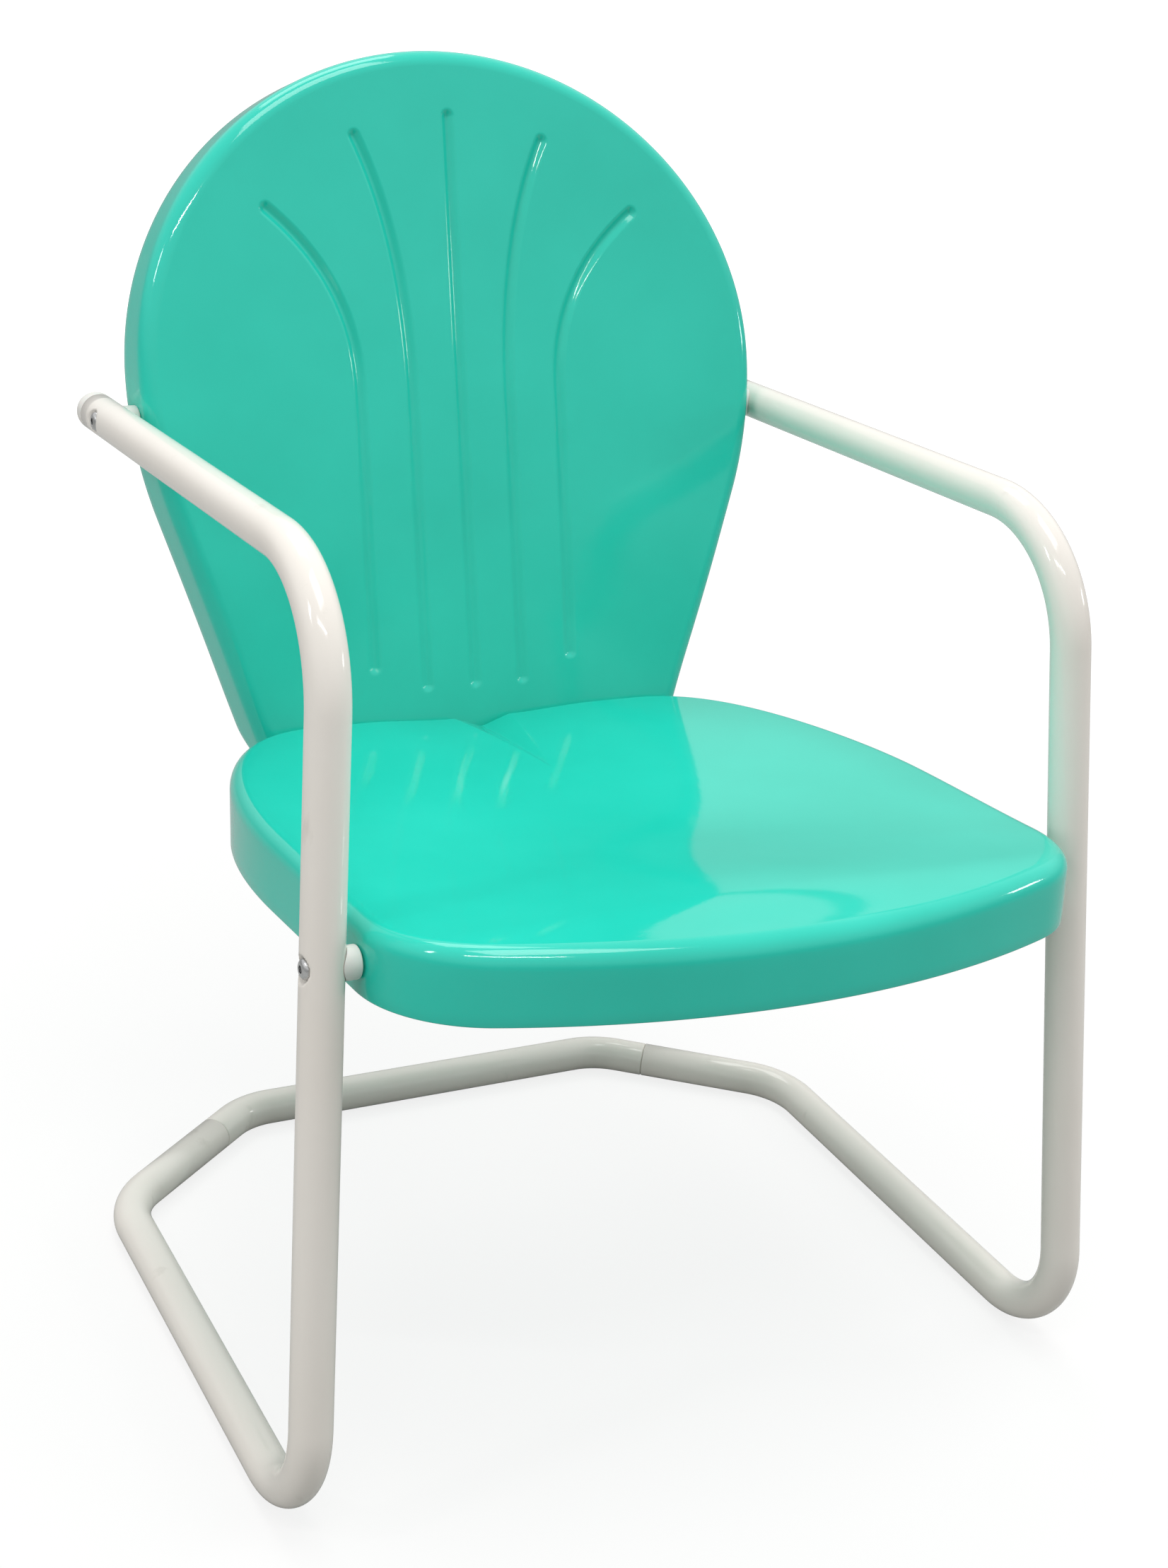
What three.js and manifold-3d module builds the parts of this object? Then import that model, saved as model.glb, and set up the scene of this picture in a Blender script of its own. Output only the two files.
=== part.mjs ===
// Retro spring lawn chair: two bent tube side frames joined by a floor bar,
// with a pressed steel seat pan and a pressed steel back shell bolted between them.
// Millimetres, +Z up, the front of the chair towards -Y, its floor at Z = 0.

import * as THREE from 'three';
import { mergeVertices, toCreasedNormals } from 'three/addons/utils/BufferGeometryUtils.js';
import Module from 'manifold-3d';

const wasm = await Module();
wasm.setup();

// Clearance between pieces that touch, and overrun of every cut
const clearance = 0.3;
const overrun = 2;

// Frame tube and its course; the corners are those of the centre line before bending
const tubeDiameter = 28.6;
const tubeWall = 1.6;
const footHalfSpacing = 301.9;
const armHalfSpacing = 273.2;
const armEndHalfSpacing = 278.5;
const armHeight = 623.4;
const legLean = 114.9;
const armReach = 430;
const armDrop = 21;
const armTail = 28;
const runnerLength = 402.6;
const barHalfLength = 166;
const barSetback = 106;
const stubLength = 126;
const armBendRadius = 99;
const footBendRadius = 64;
const runnerBendRadius = 62;
const barBendRadius = 62;

// Swaged ends of the floor bar
const swageWall = 1.4;
const swageLength = 34;
const swageShoulder = 5;

// Plastic caps in the rear ends of the arms
const capCollar = 8;
const capDome = 14;
const capPlugLength = 9;
const capPlugWall = 2;

// Plastic spacers between the tubes and the pressed shells
const spacerDiameter = 22;
const seatSpacerThickness = 8.4;
const backSpacerThickness = 5.4;
const spacerEdge = 1.6;

// Pressed sheet
const sheet = 1.5;
const hemHeight = 6.5;
const rimRadius = 13;
const hiddenRimRadius = 9;
const rimSteps = 3;

// Seat pan
const seatBoltHeight = 389.2;
const seatTilt = THREE.MathUtils.degToRad(5.9);
const seatDepth = 509;
const seatBoltToFront = 116.5;
const seatBoltDrop = 30.9;
const seatFlange = 53;
const seatFrontRadius = 570;
const seatFrontCorner = 88;
const seatRearHalfWidth = 139;
const seatCornerLength = 240;
const seatCornerSidePull = 117;
const seatCornerRearPull = 88;
const seatRearDip = 3.5;
const seatDipHalfWidth = 100;
const seatDish = 15;
const seatFrontFall = 5;
const seatSaddle = 4;
const valleyHalfWidth = 25;
const valleyDepth = 9;
const valleyLength = 140;

// Back shell
const backHeight = 511.7;
const backWidestHeight = 269.6;
const backSideRadius = 330;
const backTaper = THREE.MathUtils.degToRad(18.9);
const backSkirt = 47;
const backCorner = 26;
const backBowl = 15;
const backFlange = 48;
const backFootFlange = 15;
const backBoltInset = 20.6;

// Grooves pressed rearwards into the back
const grooveHalfWidth = 5.6;
const grooveDepth = 3.2;
const grooveFoot = 23;
const grooveCentreTop = 461;
const innerGrooveSpacing = 41.5;
const innerGrooveBend = 250;
const innerGrooveTop = 444;
const innerGrooveFlare = 37.5;
const outerGrooveSpacing = 85.5;
const outerGrooveFoot = 40;
const outerGrooveBend = 255;
const outerGrooveTop = 389;
const outerGrooveFlare = 69;

// Side bolts, through a tube, a spacer and the flange of a shell
const boltDiameter = 8;
const boltHeadDiameter = 14;
const boltHeadHeight = 4.4;
const boltSocket = 5;
const boltSocketDepth = 2.6;
const dimpleRadius = 10;
const dimpleFloorRadius = 7.6;
const dimpleDepth = 4.7;
const boltProud = 2;
const nutAcrossFlats = 13;
const nutHeight = 6.5;
const washerDiameter = 16;
const washerThickness = 1.6;

// Lower bolts, through the back and the rear flange of the seat
const lowerBoltSpacing = 105;
const lowerBoltDrop = 31;
const lowerBoltDiameter = 6;
const lowerBoltHeadDiameter = 11;
const lowerBoltHeadHeight = 3.3;
const lowerBoltSocket = 4;
const lowerBoltSocketDepth = 2;
const lowerNutAcrossFlats = 10;
const lowerNutHeight = 5;
const lowerWasherDiameter = 14;
const lowerWasherThickness = 1.4;

// Screws that hold the floor bar in the side frames
const barScrewDiameter = 4.2;
const barScrewHeadDiameter = 7;
const barScrewSink = 0.6;
const barScrewHeadDepth = 1.9;
const barScrewLength = 12;
const barScrewSetback = 14;

// Facets of round things
const tubeSides = 12;
const fastenerSides = 10;
const dimpleSides = 8;
const bendStep = THREE.MathUtils.degToRad(20);
const facet = (2 * Math.PI) / tubeSides;
const creaseAngle = THREE.MathUtils.degToRad(40);

// Paint, plastic and bright hardware
const paintedSteel = (name) => new THREE.MeshStandardMaterial({
  name, color: 0x35bfa3, roughness: 0.25, metalness: 0,
});
const tubePaint = (name) => new THREE.MeshStandardMaterial({
  name, color: 0xe6e0d6, roughness: 0.3, metalness: 0,
});
const whitePlastic = (name) => new THREE.MeshStandardMaterial({
  name, color: 0xe9e7df, roughness: 0.45, metalness: 0,
});
const brightSteel = (name) => new THREE.MeshStandardMaterial({
  name, color: 0xa9acae, roughness: 0.3, metalness: 1,
});

const vec = (x, y, z) => new THREE.Vector3(x, y, z);
const xAxis = vec(1, 0, 0);
const yAxis = vec(0, 1, 0);
const zAxis = vec(0, 0, 1);

// Solids for cutting and joining
function solidOf(geometry) {
  const bare = geometry.clone();
  bare.deleteAttribute('normal');
  bare.deleteAttribute('uv');
  const merged = mergeVertices(bare);
  return new wasm.Manifold(new wasm.Mesh({
    numProp: 3,
    vertProperties: new Float32Array(merged.attributes.position.array),
    triVerts: new Uint32Array(merged.index.array),
  }));
}

function geometryOf(solid) {
  const mesh = solid.getMesh();
  const geometry = new THREE.BufferGeometry();
  geometry.setAttribute('position', new THREE.BufferAttribute(mesh.vertProperties, 3));
  geometry.setIndex(new THREE.BufferAttribute(mesh.triVerts, 1));
  return toCreasedNormals(geometry, creaseAngle);
}

function placed(solid, matrix) {
  return solid.transform(matrix.toArray());
}

function piece(name, shape, material) {
  const geometry = shape.isBufferGeometry ? shape : geometryOf(shape);
  const mesh = new THREE.Mesh(geometry, material(name));
  mesh.name = name;
  return mesh;
}

// A turn that lays the Y axis, the axis of turned pieces, along a direction
function axisMatrix(origin, direction) {
  const turn = new THREE.Quaternion().setFromUnitVectors(yAxis, direction);
  return new THREE.Matrix4().compose(origin, turn, vec(1, 1, 1));
}

function placeAlong(mesh, origin, direction) {
  mesh.position.copy(origin);
  mesh.quaternion.setFromUnitVectors(yAxis, direction);
  return mesh;
}

// Many-sided ring whose flats lie at the given distances, one flat on each axis
function flatSidedPoints(apothem, sides) {
  const radius = apothem / Math.cos(Math.PI / sides);
  return Array.from({ length: sides }, (_, i) => {
    const angle = (i + 1 / 2) * (2 * Math.PI) / sides;
    return new THREE.Vector2(radius * Math.cos(angle), radius * Math.sin(angle));
  });
}

function flatSidedShape(outer, inner, sides = tubeSides) {
  const shape = new THREE.Shape(flatSidedPoints(outer, sides));
  if (inner > 0) {
    shape.holes.push(new THREE.Path(flatSidedPoints(inner, sides).reverse()));
  }
  return shape;
}

// Centre line of straight runs and round bends, with a ring only where one is needed
class BentPath extends THREE.Curve {
  constructor(rings) {
    super();
    this.rings = rings;
  }

  getSpacedPoints() {
    return this.rings.map((ring) => ring.point);
  }

  computeFrenetFrames() {
    const tangents = this.rings.map((ring) => ring.tangent);
    const normals = this.rings.map((ring) => ring.side.clone()
      .addScaledVector(ring.tangent, -ring.side.dot(ring.tangent)).normalize());
    const binormals = tangents.map((tangent, i) => tangent.clone().cross(normals[i]));
    return { tangents, normals, binormals };
  }
}

// corners: the ends and virtual corners; radii: one per inner corner;
// sides: one per straight run, the direction that one flat of the section faces
function bentRings(corners, radii, sides) {
  const runs = corners.slice(1).map((corner, i) => corner.clone().sub(corners[i]).normalize());
  const rings = [{ point: corners[0], tangent: runs[0], side: sides[0] }];
  radii.forEach((radius, i) => {
    const into = runs[i];
    const out = runs[i + 1];
    const turn = into.angleTo(out);
    const axis = into.clone().cross(out).normalize();
    const start = corners[i + 1].clone().addScaledVector(into, -radius * Math.tan(turn / 2));
    const centre = start.clone().addScaledVector(axis.clone().cross(into), radius);
    const steps = Math.ceil(turn / bendStep);
    for (let step = 0; step <= steps; step += 1) {
      const share = step / steps;
      const point = start.clone().sub(centre).applyAxisAngle(axis, turn * share).add(centre);
      const tangent = into.clone().applyAxisAngle(axis, turn * share);
      rings.push({ point, tangent, side: sides[i].clone().lerp(sides[i + 1], share) });
    }
  });
  const last = corners.length - 1;
  rings.push({ point: corners[last], tangent: runs[last - 1], side: sides[last - 1] });
  return rings;
}

function sweep(shape, rings) {
  const extrudePath = new BentPath(rings);
  return new THREE.ExtrudeGeometry(shape, { steps: rings.length - 1, extrudePath });
}

// Solid of revolution about Y from a closed or axis-to-axis profile, given bottom first
function turned(profile, sides = fastenerSides) {
  const points = profile.map(([radius, height]) => new THREE.Vector2(radius, height));
  return solidOf(new THREE.LatheGeometry(points, sides));
}

function rod(radius, bottom, top, sides = fastenerSides) {
  return turned([[0, bottom], [radius, bottom], [radius, top], [0, top]], sides);
}

// Frame geometry that the other pieces follow; hand is -1 on the left and 1 on the right
const tubeRadius = tubeDiameter / 2;
const boreRadius = tubeRadius - tubeWall;
const armRise = armHeight - tubeRadius;

function frameLine(hand) {
  const foot = vec(hand * footHalfSpacing, 0, tubeRadius);
  const armFront = vec(hand * armHalfSpacing, legLean, armHeight);
  const armEnd = vec(hand * armEndHalfSpacing, legLean + armReach, armHeight - armDrop);
  const armPoint = (reach) => armFront.clone().lerp(armEnd, reach / armReach);
  const legPoint = (z) => foot.clone().lerp(armFront, (z - tubeRadius) / armRise);
  const runnerRear = vec(hand * footHalfSpacing, runnerLength, tubeRadius);
  const barCorner = vec(hand * barHalfLength, runnerLength + barSetback, tubeRadius);
  const stubDirection = barCorner.clone().sub(runnerRear).normalize();
  const stubEnd = runnerRear.clone().addScaledVector(stubDirection, stubLength);
  return {
    hand, foot, armFront, armPoint, legPoint, runnerRear, barCorner, stubDirection, stubEnd,
  };
}

const lines = { left: frameLine(-1), right: frameLine(1) };

// Anchors of the seat and the back, worked out from the frame on one side
const seatBoltPoint = lines.right.legPoint(seatBoltHeight);
const backBoltPoint = lines.right.armPoint(armReach);
const seatStack = tubeRadius + seatSpacerThickness + 2 * clearance;
const backStack = tubeRadius + backSpacerThickness + 2 * clearance;
const seatHalfWidth = seatBoltPoint.x - seatStack;
const seatBoltLine = -(seatDepth - seatBoltToFront);
const seatBoltLocal = vec(0, seatBoltLine, -seatBoltDrop);
const seatTurn = new THREE.Euler(-seatTilt, 0, 0);
const seatOrigin = vec(0, seatBoltPoint.y, seatBoltPoint.z).sub(seatBoltLocal.clone().applyEuler(seatTurn));
const backBoltDepth = backFlange - backBowl - backBoltInset;
const toBackBolt = vec(0, backBoltPoint.y, backBoltPoint.z).sub(seatOrigin);
const recline = Math.atan2(toBackBolt.y, toBackBolt.z)
  - Math.asin((backBoltDepth + clearance) / toBackBolt.length());
const backTurn = new THREE.Euler(-recline, 0, 0);
const backRearward = yAxis.clone().applyEuler(backTurn);
const backUpward = zAxis.clone().applyEuler(backTurn);
const backOrigin = seatOrigin.clone().addScaledVector(backRearward, clearance);
const backBoltRise = vec(0, backBoltPoint.y, backBoltPoint.z).sub(backOrigin).dot(backUpward);
const flangeLean = Math.tan(recline - seatTilt);

// Rings of points from a pole to the free edge, on the outer and the inner skin of a shell
function shellGeometry(outer, inner) {
  const positions = [];
  const triangles = [];
  const addSkin = ({ pole, rings }) => {
    const first = positions.length / 3;
    positions.push(...pole.toArray());
    rings.forEach((ring) => ring.forEach((point) => positions.push(...point.toArray())));
    return first;
  };
  const count = outer.rings[0].length;
  const at = (first, ring, i) => first + 1 + ring * count + (i % count);
  const quad = (a, b, c, d, flip) => {
    triangles.push(...(flip ? [a, c, b, a, d, c] : [a, b, c, a, c, d]));
  };
  const outerFirst = addSkin(outer);
  const innerFirst = addSkin(inner);
  [[outerFirst, outer, false], [innerFirst, inner, true]].forEach(([first, skin, flip]) => {
    for (let i = 0; i < count; i += 1) {
      const [a, b] = [at(first, 0, i), at(first, 0, i + 1)];
      triangles.push(first, ...(flip ? [b, a] : [a, b]));
      for (let ring = 0; ring < skin.rings.length - 1; ring += 1) {
        const [inside, outside] = [ring, ring + 1];
        quad(at(first, inside, i), at(first, outside, i),
          at(first, outside, i + 1), at(first, inside, i + 1), flip);
      }
    }
  });
  const outerEdge = outer.rings.length - 1;
  const innerEdge = inner.rings.length - 1;
  for (let i = 0; i < count; i += 1) {
    quad(at(outerFirst, outerEdge, i), at(innerFirst, innerEdge, i),
      at(innerFirst, innerEdge, i + 1), at(outerFirst, outerEdge, i + 1), false);
  }
  const geometry = new THREE.BufferGeometry();
  geometry.setAttribute('position', new THREE.Float32BufferAttribute(positions, 3));
  geometry.setIndex(triangles);
  return geometry;
}

// Outline points, anticlockwise, with the outward direction at each
function outlineNormals(points) {
  return points.map((point, i) => {
    const before = points[(i + points.length - 1) % points.length];
    const after = points[(i + 1) % points.length];
    const alongIn = point.clone().sub(before).normalize();
    const alongOut = after.clone().sub(point).normalize();
    const outIn = new THREE.Vector2(alongIn.y, -alongIn.x);
    const outOut = new THREE.Vector2(alongOut.y, -alongOut.x);
    const mitre = outIn.clone().add(outOut).normalize();
    return mitre.divideScalar(mitre.dot(outIn));
  });
}

// Right half of an outline, from the lower to the upper centre point, made whole
function mirrored(half) {
  const inner = half.filter((point) => Math.abs(point.x) > clearance);
  const left = inner.map((point) => new THREE.Vector2(-point.x, point.y)).reverse();
  return [...half, ...left];
}

function arcPoints(centreX, centreY, radius, from, to, steps) {
  return Array.from({ length: steps + 1 }, (_, i) => {
    const angle = from + (to - from) * (i / steps);
    return new THREE.Vector2(centreX + radius * Math.cos(angle), centreY + radius * Math.sin(angle));
  });
}

// Skins of a pressed pan: dished face, rolled rim, flange and a hem folded inside it.
// height(x, y) is the face, flangeAt(normal, point) the depth, fit(point, normal) bends the flange.
function panSkins(outline, pole, faceShares, height, rimAt, flangeAt, fit) {
  const normals = outlineNormals(outline);
  const rims = normals.map(rimAt);
  const inset = (distanceAt) => outline.map((point, i) => (
    point.clone().addScaledVector(normals[i], -distanceAt(rims[i]))));
  const rimStarts = inset((rim) => rim);
  const rimTops = rimStarts.map((point) => height(point.x, point.y));
  const skin = (thickness, edges) => {
    const rings = faceShares.map((share) => rimStarts.map((point) => {
      const flat = pole.clone().lerp(point, share);
      return vec(flat.x, flat.y, height(flat.x, flat.y) - thickness);
    }));
    const along = (distanceAt, drops) => inset(distanceAt).map((point, i) => (
      fit(vec(point.x, point.y, rimTops[i] - drops[i]), normals[i])));
    for (let step = 1; step <= rimSteps; step += 1) {
      const angle = (step / rimSteps) * (Math.PI / 2);
      const across = (rim) => rim - (rim - thickness) * Math.sin(angle);
      const down = (rim) => rim - (rim - thickness) * Math.cos(angle);
      rings.push(along(across, rims.map(down)));
    }
    edges.forEach(([distance, rise]) => {
      const depths = normals.map((normal, i) => flangeAt(normal, outline[i]));
      rings.push(along(() => distance, depths.map((depth, i) => depth + rimTops[i] - rise)));
    });
    return { pole: vec(pole.x, pole.y, height(pole.x, pole.y) - thickness), rings };
  };
  return {
    outer: skin(0, [[0, 0]]),
    inner: skin(sheet, [[sheet, hemHeight], [2 * sheet, hemHeight - sheet], [2 * sheet, 0]]),
  };
}

function smooth(value, from, to) {
  return THREE.MathUtils.smoothstep(value, from, to);
}

// Seat pan: X across, Y rearwards along the seat, Z out of it, the origin at the rear edge
const seatPoleShare = 0.52;
const seatFaceShares = [0.3, 0.55, 0.76, 0.92, 1];
const valleyEdgeShares = [0, 0.5, 1];
const rearRunShares = [0.4, 0.7];
const sideRunShares = [0.33, 0.67];
const saddleStartShare = 0.45;
const saddleCrestShare = 0.8;
const frontFallShare = 0.86;

function seatOutline() {
  const frontCentre = seatFrontRadius - seatDepth;
  const cornerX = seatHalfWidth - seatFrontCorner;
  const reach = seatFrontRadius - seatFrontCorner;
  const cornerY = frontCentre - Math.sqrt(reach * reach - cornerX * cornerX);
  const frontAngle = Math.atan2(cornerY - frontCentre, cornerX);
  const sideRear = -seatCornerLength;
  const rearCorner = new THREE.CubicBezierCurve(
    new THREE.Vector2(seatHalfWidth, sideRear),
    new THREE.Vector2(seatHalfWidth, sideRear + seatCornerSidePull),
    new THREE.Vector2(seatRearHalfWidth + seatCornerRearPull, 0),
    new THREE.Vector2(seatRearHalfWidth, 0),
  );
  const half = [
    ...arcPoints(0, frontCentre, seatFrontRadius, -Math.PI / 2, frontAngle, 6),
    ...arcPoints(cornerX, cornerY, seatFrontCorner, frontAngle, 0, 5).slice(1),
    ...sideRunShares.map((share) => new THREE.Vector2(seatHalfWidth, cornerY + (sideRear - cornerY) * share)),
    ...rearCorner.getPoints(7),
    ...rearRunShares.map((share) => new THREE.Vector2(
      seatRearHalfWidth + (valleyHalfWidth - seatRearHalfWidth) * share, 0)),
    ...valleyEdgeShares.map((share) => new THREE.Vector2(valleyHalfWidth * (1 - share), 0)),
  ];
  return mirrored(half);
}

function seatFace(x, y) {
  const across = x / seatHalfWidth;
  const along = y / seatDepth;
  const bowl = (1 - across * across) * Math.sin(Math.PI * THREE.MathUtils.clamp(-along, 0, 1)) ** 2;
  const rise = smooth(-along, saddleStartShare, saddleCrestShare);
  const front = rise * (1 - smooth(-along, saddleCrestShare, 1));
  const saddle = seatSaddle * front * Math.cos(Math.PI * across);
  const valleyShare = 1 - THREE.MathUtils.clamp(-y / valleyLength, 0, 1);
  const valley = valleyDepth * Math.max(valleyShare - Math.abs(x) / valleyHalfWidth, 0);
  const dip = 1 - smooth(Math.abs(x), valleyHalfWidth, seatDipHalfWidth);
  const fall = seatFrontFall * smooth(-along, frontFallShare, 1);
  return saddle - seatDish * bowl - fall - valley - seatRearDip * dip * valleyShare;
}

// The rim rolls tighter where the seat meets the back
function seatRim(normal) {
  return rimRadius + (hiddenRimRadius - rimRadius) * smooth(normal.y, 0, 1);
}

// The rear flange of the seat leans to lie flat against the back
function leanRearFlange(point, normal) {
  const share = smooth(normal.y, 0, 1);
  point.y += point.z * flangeLean * share;
  return point;
}

function boreAcross(y, z, radius) {
  const reach = seatHalfWidth + overrun;
  const bore = rod(radius, -reach, reach);
  return placed(bore, axisMatrix(vec(0, y, z), xAxis));
}

function lowerBoltPoints() {
  return [-lowerBoltSpacing, 0, lowerBoltSpacing].map((x) => vec(x, 0, -lowerBoltDrop));
}

function seatPan() {
  const pole = new THREE.Vector2(0, -seatPoleShare * seatDepth);
  const skins = panSkins(seatOutline(), pole, seatFaceShares, seatFace, seatRim, () => seatFlange, leanRearFlange);
  const lowerBore = rod(lowerBoltDiameter / 2 + clearance, -seatFlange, overrun);
  const upright = new THREE.Matrix4().makeRotationX(-(recline - seatTilt));
  const cuts = lowerBoltPoints().map((point) => (
    placed(placed(lowerBore, axisMatrix(point, yAxis)), upright)));
  cuts.push(boreAcross(seatBoltLine, -seatBoltDrop, boltDiameter / 2 + clearance));
  return cuts.reduce((solid, cut) => solid.subtract(cut), solidOf(shellGeometry(skins.outer, skins.inner)));
}

// Back shell, pressed face down: X across, Y up the back, Z out of its front face
const backFaceShares = [0.35, 0.65, 0.88, 1];
const backRunShares = [0.25, 0.5, 0.75];
const backFootShares = [0, 0.35, 0.7];

function backHalfWidthAt(height, widest) {
  const drop = backWidestHeight - height;
  const bendDrop = backSideRadius * Math.sin(backTaper);
  if (drop <= 0) {
    const share = Math.min(-drop / (backHeight - backWidestHeight), 1);
    return widest * Math.sqrt(1 - share * share);
  }
  if (drop <= bendDrop) {
    return widest - backSideRadius + Math.sqrt(backSideRadius * backSideRadius - drop * drop);
  }
  return widest - backSideRadius * (1 - Math.cos(backTaper)) - (drop - bendDrop) * Math.tan(backTaper);
}

// The back is as wide as the arms leave room for where it is bolted to them
function backWidest() {
  const room = backBoltPoint.x - backStack;
  const sample = backSideRadius;
  return backBoltRise > backWidestHeight
    ? room * (sample / backHalfWidthAt(backBoltRise, sample))
    : room + sample - backHalfWidthAt(backBoltRise, sample);
}

const backHalfWidth = backWidest();

function backOutline() {
  const bendDrop = backSideRadius * Math.sin(backTaper);
  const sideFoot = backWidestHeight - bendDrop;
  const tip = -backSkirt;
  const tipHalfWidth = backHalfWidthAt(tip, backHalfWidth);
  const cornerTurn = Math.PI / 2 - backTaper;
  const setIn = backCorner * Math.tan(cornerTurn / 2);
  const cornerX = tipHalfWidth - setIn;
  const cornerTop = arcPoints(cornerX, tip + backCorner, backCorner, -Math.PI / 2, -backTaper, 4);
  const bendStart = cornerTop[cornerTop.length - 1];
  const bendEnd = new THREE.Vector2(backHalfWidthAt(sideFoot, backHalfWidth), sideFoot);
  const half = [
    ...backFootShares.map((share) => new THREE.Vector2(cornerX * share, tip)),
    ...cornerTop,
    ...backRunShares.map((share) => bendStart.clone().lerp(bendEnd, share)),
    ...arcPoints(backHalfWidth - backSideRadius, backWidestHeight, backSideRadius, -backTaper, 0, 5),
  ];
  const domeSteps = 10;
  for (let step = 1; step <= domeSteps; step += 1) {
    const angle = (step / domeSteps) * (Math.PI / 2);
    half.push(new THREE.Vector2(
      backHalfWidth * Math.cos(angle),
      backWidestHeight + (backHeight - backWidestHeight) * Math.sin(angle),
    ));
  }
  return mirrored(half);
}

// Flat between the lower bolts, hollowed from side to side higher up
function backFace(x, y) {
  const flatHalf = seatRearHalfWidth * (1 - smooth(y, 0, seatRearHalfWidth));
  const across = Math.max(Math.abs(x) - flatHalf, 0) / (backHalfWidth - flatHalf);
  return backBowl * across * across;
}

// The rim rolls tighter along the foot, which stands behind the seat
function backRim(normal) {
  return rimRadius + (hiddenRimRadius - rimRadius) * smooth(-normal.y, Math.sin(backTaper), 1);
}

function backFlangeDepth(normal, point) {
  const depth = THREE.MathUtils.lerp(backFlange, backFootFlange, smooth(-point.y, 0, backSkirt));
  return depth - backFace(point.x, point.y);
}

// Shares of a groove's half width and depth: its section, its round ends and its shallow foot
const grooveSectionShares = [[-0.62, 0.82], [0, 1], [0.62, 0.82]];
const grooveEndShares = [[0.55, 0.85]];
const grooveFootShare = 0.62;
const grooveKneeShare = 0.6;

// One groove: a line up the face that ends in a curve outwards
function grooveLine(spacing, foot, bend, top, flare) {
  const straight = new THREE.LineCurve(new THREE.Vector2(spacing, foot), new THREE.Vector2(spacing, bend));
  const knee = bend + (top - bend) * grooveKneeShare;
  const curve = new THREE.QuadraticBezierCurve(
    new THREE.Vector2(spacing, bend),
    new THREE.Vector2(spacing, knee),
    new THREE.Vector2(spacing + flare, top),
  );
  const rise = Math.abs(flare) > 0 ? curve.getPoints(3).slice(1) : [new THREE.Vector2(spacing, top)];
  return [...straight.getPoints(1), ...rise];
}

const grooveCourses = [
  grooveLine(0, grooveFoot, (grooveFoot + grooveCentreTop) / 2, grooveCentreTop, 0),
  ...[-1, 1].map((hand) => grooveLine(
    hand * innerGrooveSpacing, grooveFoot, innerGrooveBend, innerGrooveTop, hand * innerGrooveFlare)),
  ...[-1, 1].map((hand) => grooveLine(
    hand * outerGrooveSpacing, outerGrooveFoot, outerGrooveBend, outerGrooveTop, hand * outerGrooveFlare)),
];

// A closed solid through rings with the same number of points
function loft(rings) {
  const count = rings[0].length;
  const positions = rings.flatMap((ring) => ring.flatMap((point) => point.toArray()));
  const triangles = [];
  for (let ring = 0; ring < rings.length - 1; ring += 1) {
    for (let i = 0; i < count; i += 1) {
      const [a, b] = [ring * count + i, ring * count + ((i + 1) % count)];
      triangles.push(a, b, b + count, a, b + count, a + count);
    }
  }
  const last = (rings.length - 1) * count;
  for (let i = 1; i < count - 1; i += 1) {
    triangles.push(0, i + 1, i, last, last + i, last + i + 1);
  }
  const geometry = new THREE.BufferGeometry();
  geometry.setAttribute('position', new THREE.Float32BufferAttribute(positions, 3));
  geometry.setIndex(triangles);
  return geometry;
}

// The hollow of a groove, or the ridge that it raises behind the sheet.
// It is full size at the flared top and shallower at the foot, with round ends.
function grooveSolid(course, margin, lid) {
  const stations = course.map((point, i) => {
    const before = course[Math.max(i - 1, 0)];
    const after = course[Math.min(i + 1, course.length - 1)];
    const along = after.clone().sub(before).normalize();
    const share = grooveFootShare + (1 - grooveFootShare) * (i / (course.length - 1));
    return { point, along, share, size: 1 };
  });
  const ends = (station, hand) => grooveEndShares.map(([size, shift]) => ({
    ...station,
    size,
    point: station.point.clone().addScaledVector(station.along, hand * shift * (grooveHalfWidth + margin)),
  }));
  const first = stations[0];
  const last = stations[stations.length - 1];
  const all = [...ends(first, -1), ...stations, ...ends(last, 1).reverse()];
  const rings = all.map(({ point, along, share, size }) => {
    const half = (grooveHalfWidth * share + margin) * size;
    const depth = (grooveDepth * share + margin) * size;
    const floor = grooveSectionShares.map(([x, z]) => [half * x, -depth * z]);
    const section = [[-half, lid], ...floor, [half, lid]];
    return section.map(([sideways, height]) => vec(
      point.x - along.y * sideways, point.y + along.x * sideways, backFace(point.x, point.y) + height));
  });
  return solidOf(loft(rings));
}

function backShell() {
  const pole = new THREE.Vector2(0, backWidestHeight);
  const skins = panSkins(backOutline(), pole, backFaceShares, backFace, backRim, backFlangeDepth, (point) => point);
  let solid = solidOf(shellGeometry(skins.outer, skins.inner));
  grooveCourses.forEach((course) => {
    solid = solid.add(grooveSolid(course, sheet, -sheet / 2));
    solid = solid.subtract(grooveSolid(course, 0, overrun));
  });
  const lowerBore = rod(lowerBoltDiameter / 2 + clearance, -backFlange, backFlange);
  lowerBoltPoints().forEach((point) => {
    solid = solid.subtract(placed(lowerBore, axisMatrix(vec(point.x, point.z, 0), zAxis)));
  });
  return solid.subtract(boreAcross(backBoltRise, -backBoltDepth, boltDiameter / 2 + clearance));
}

// The room that the shell needs inside the spacers, grown by the clearance
function backKeepOut() {
  const outline = backOutline();
  const normals = outlineNormals(outline);
  const grown = outline.map((point, i) => point.clone().addScaledVector(normals[i], clearance));
  const depth = backFlange + overrun;
  const block = new THREE.ExtrudeGeometry(new THREE.Shape(grown), { depth: 2 * depth, bevelEnabled: false });
  return solidOf(block).translate([0, 0, -depth]);
}

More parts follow.
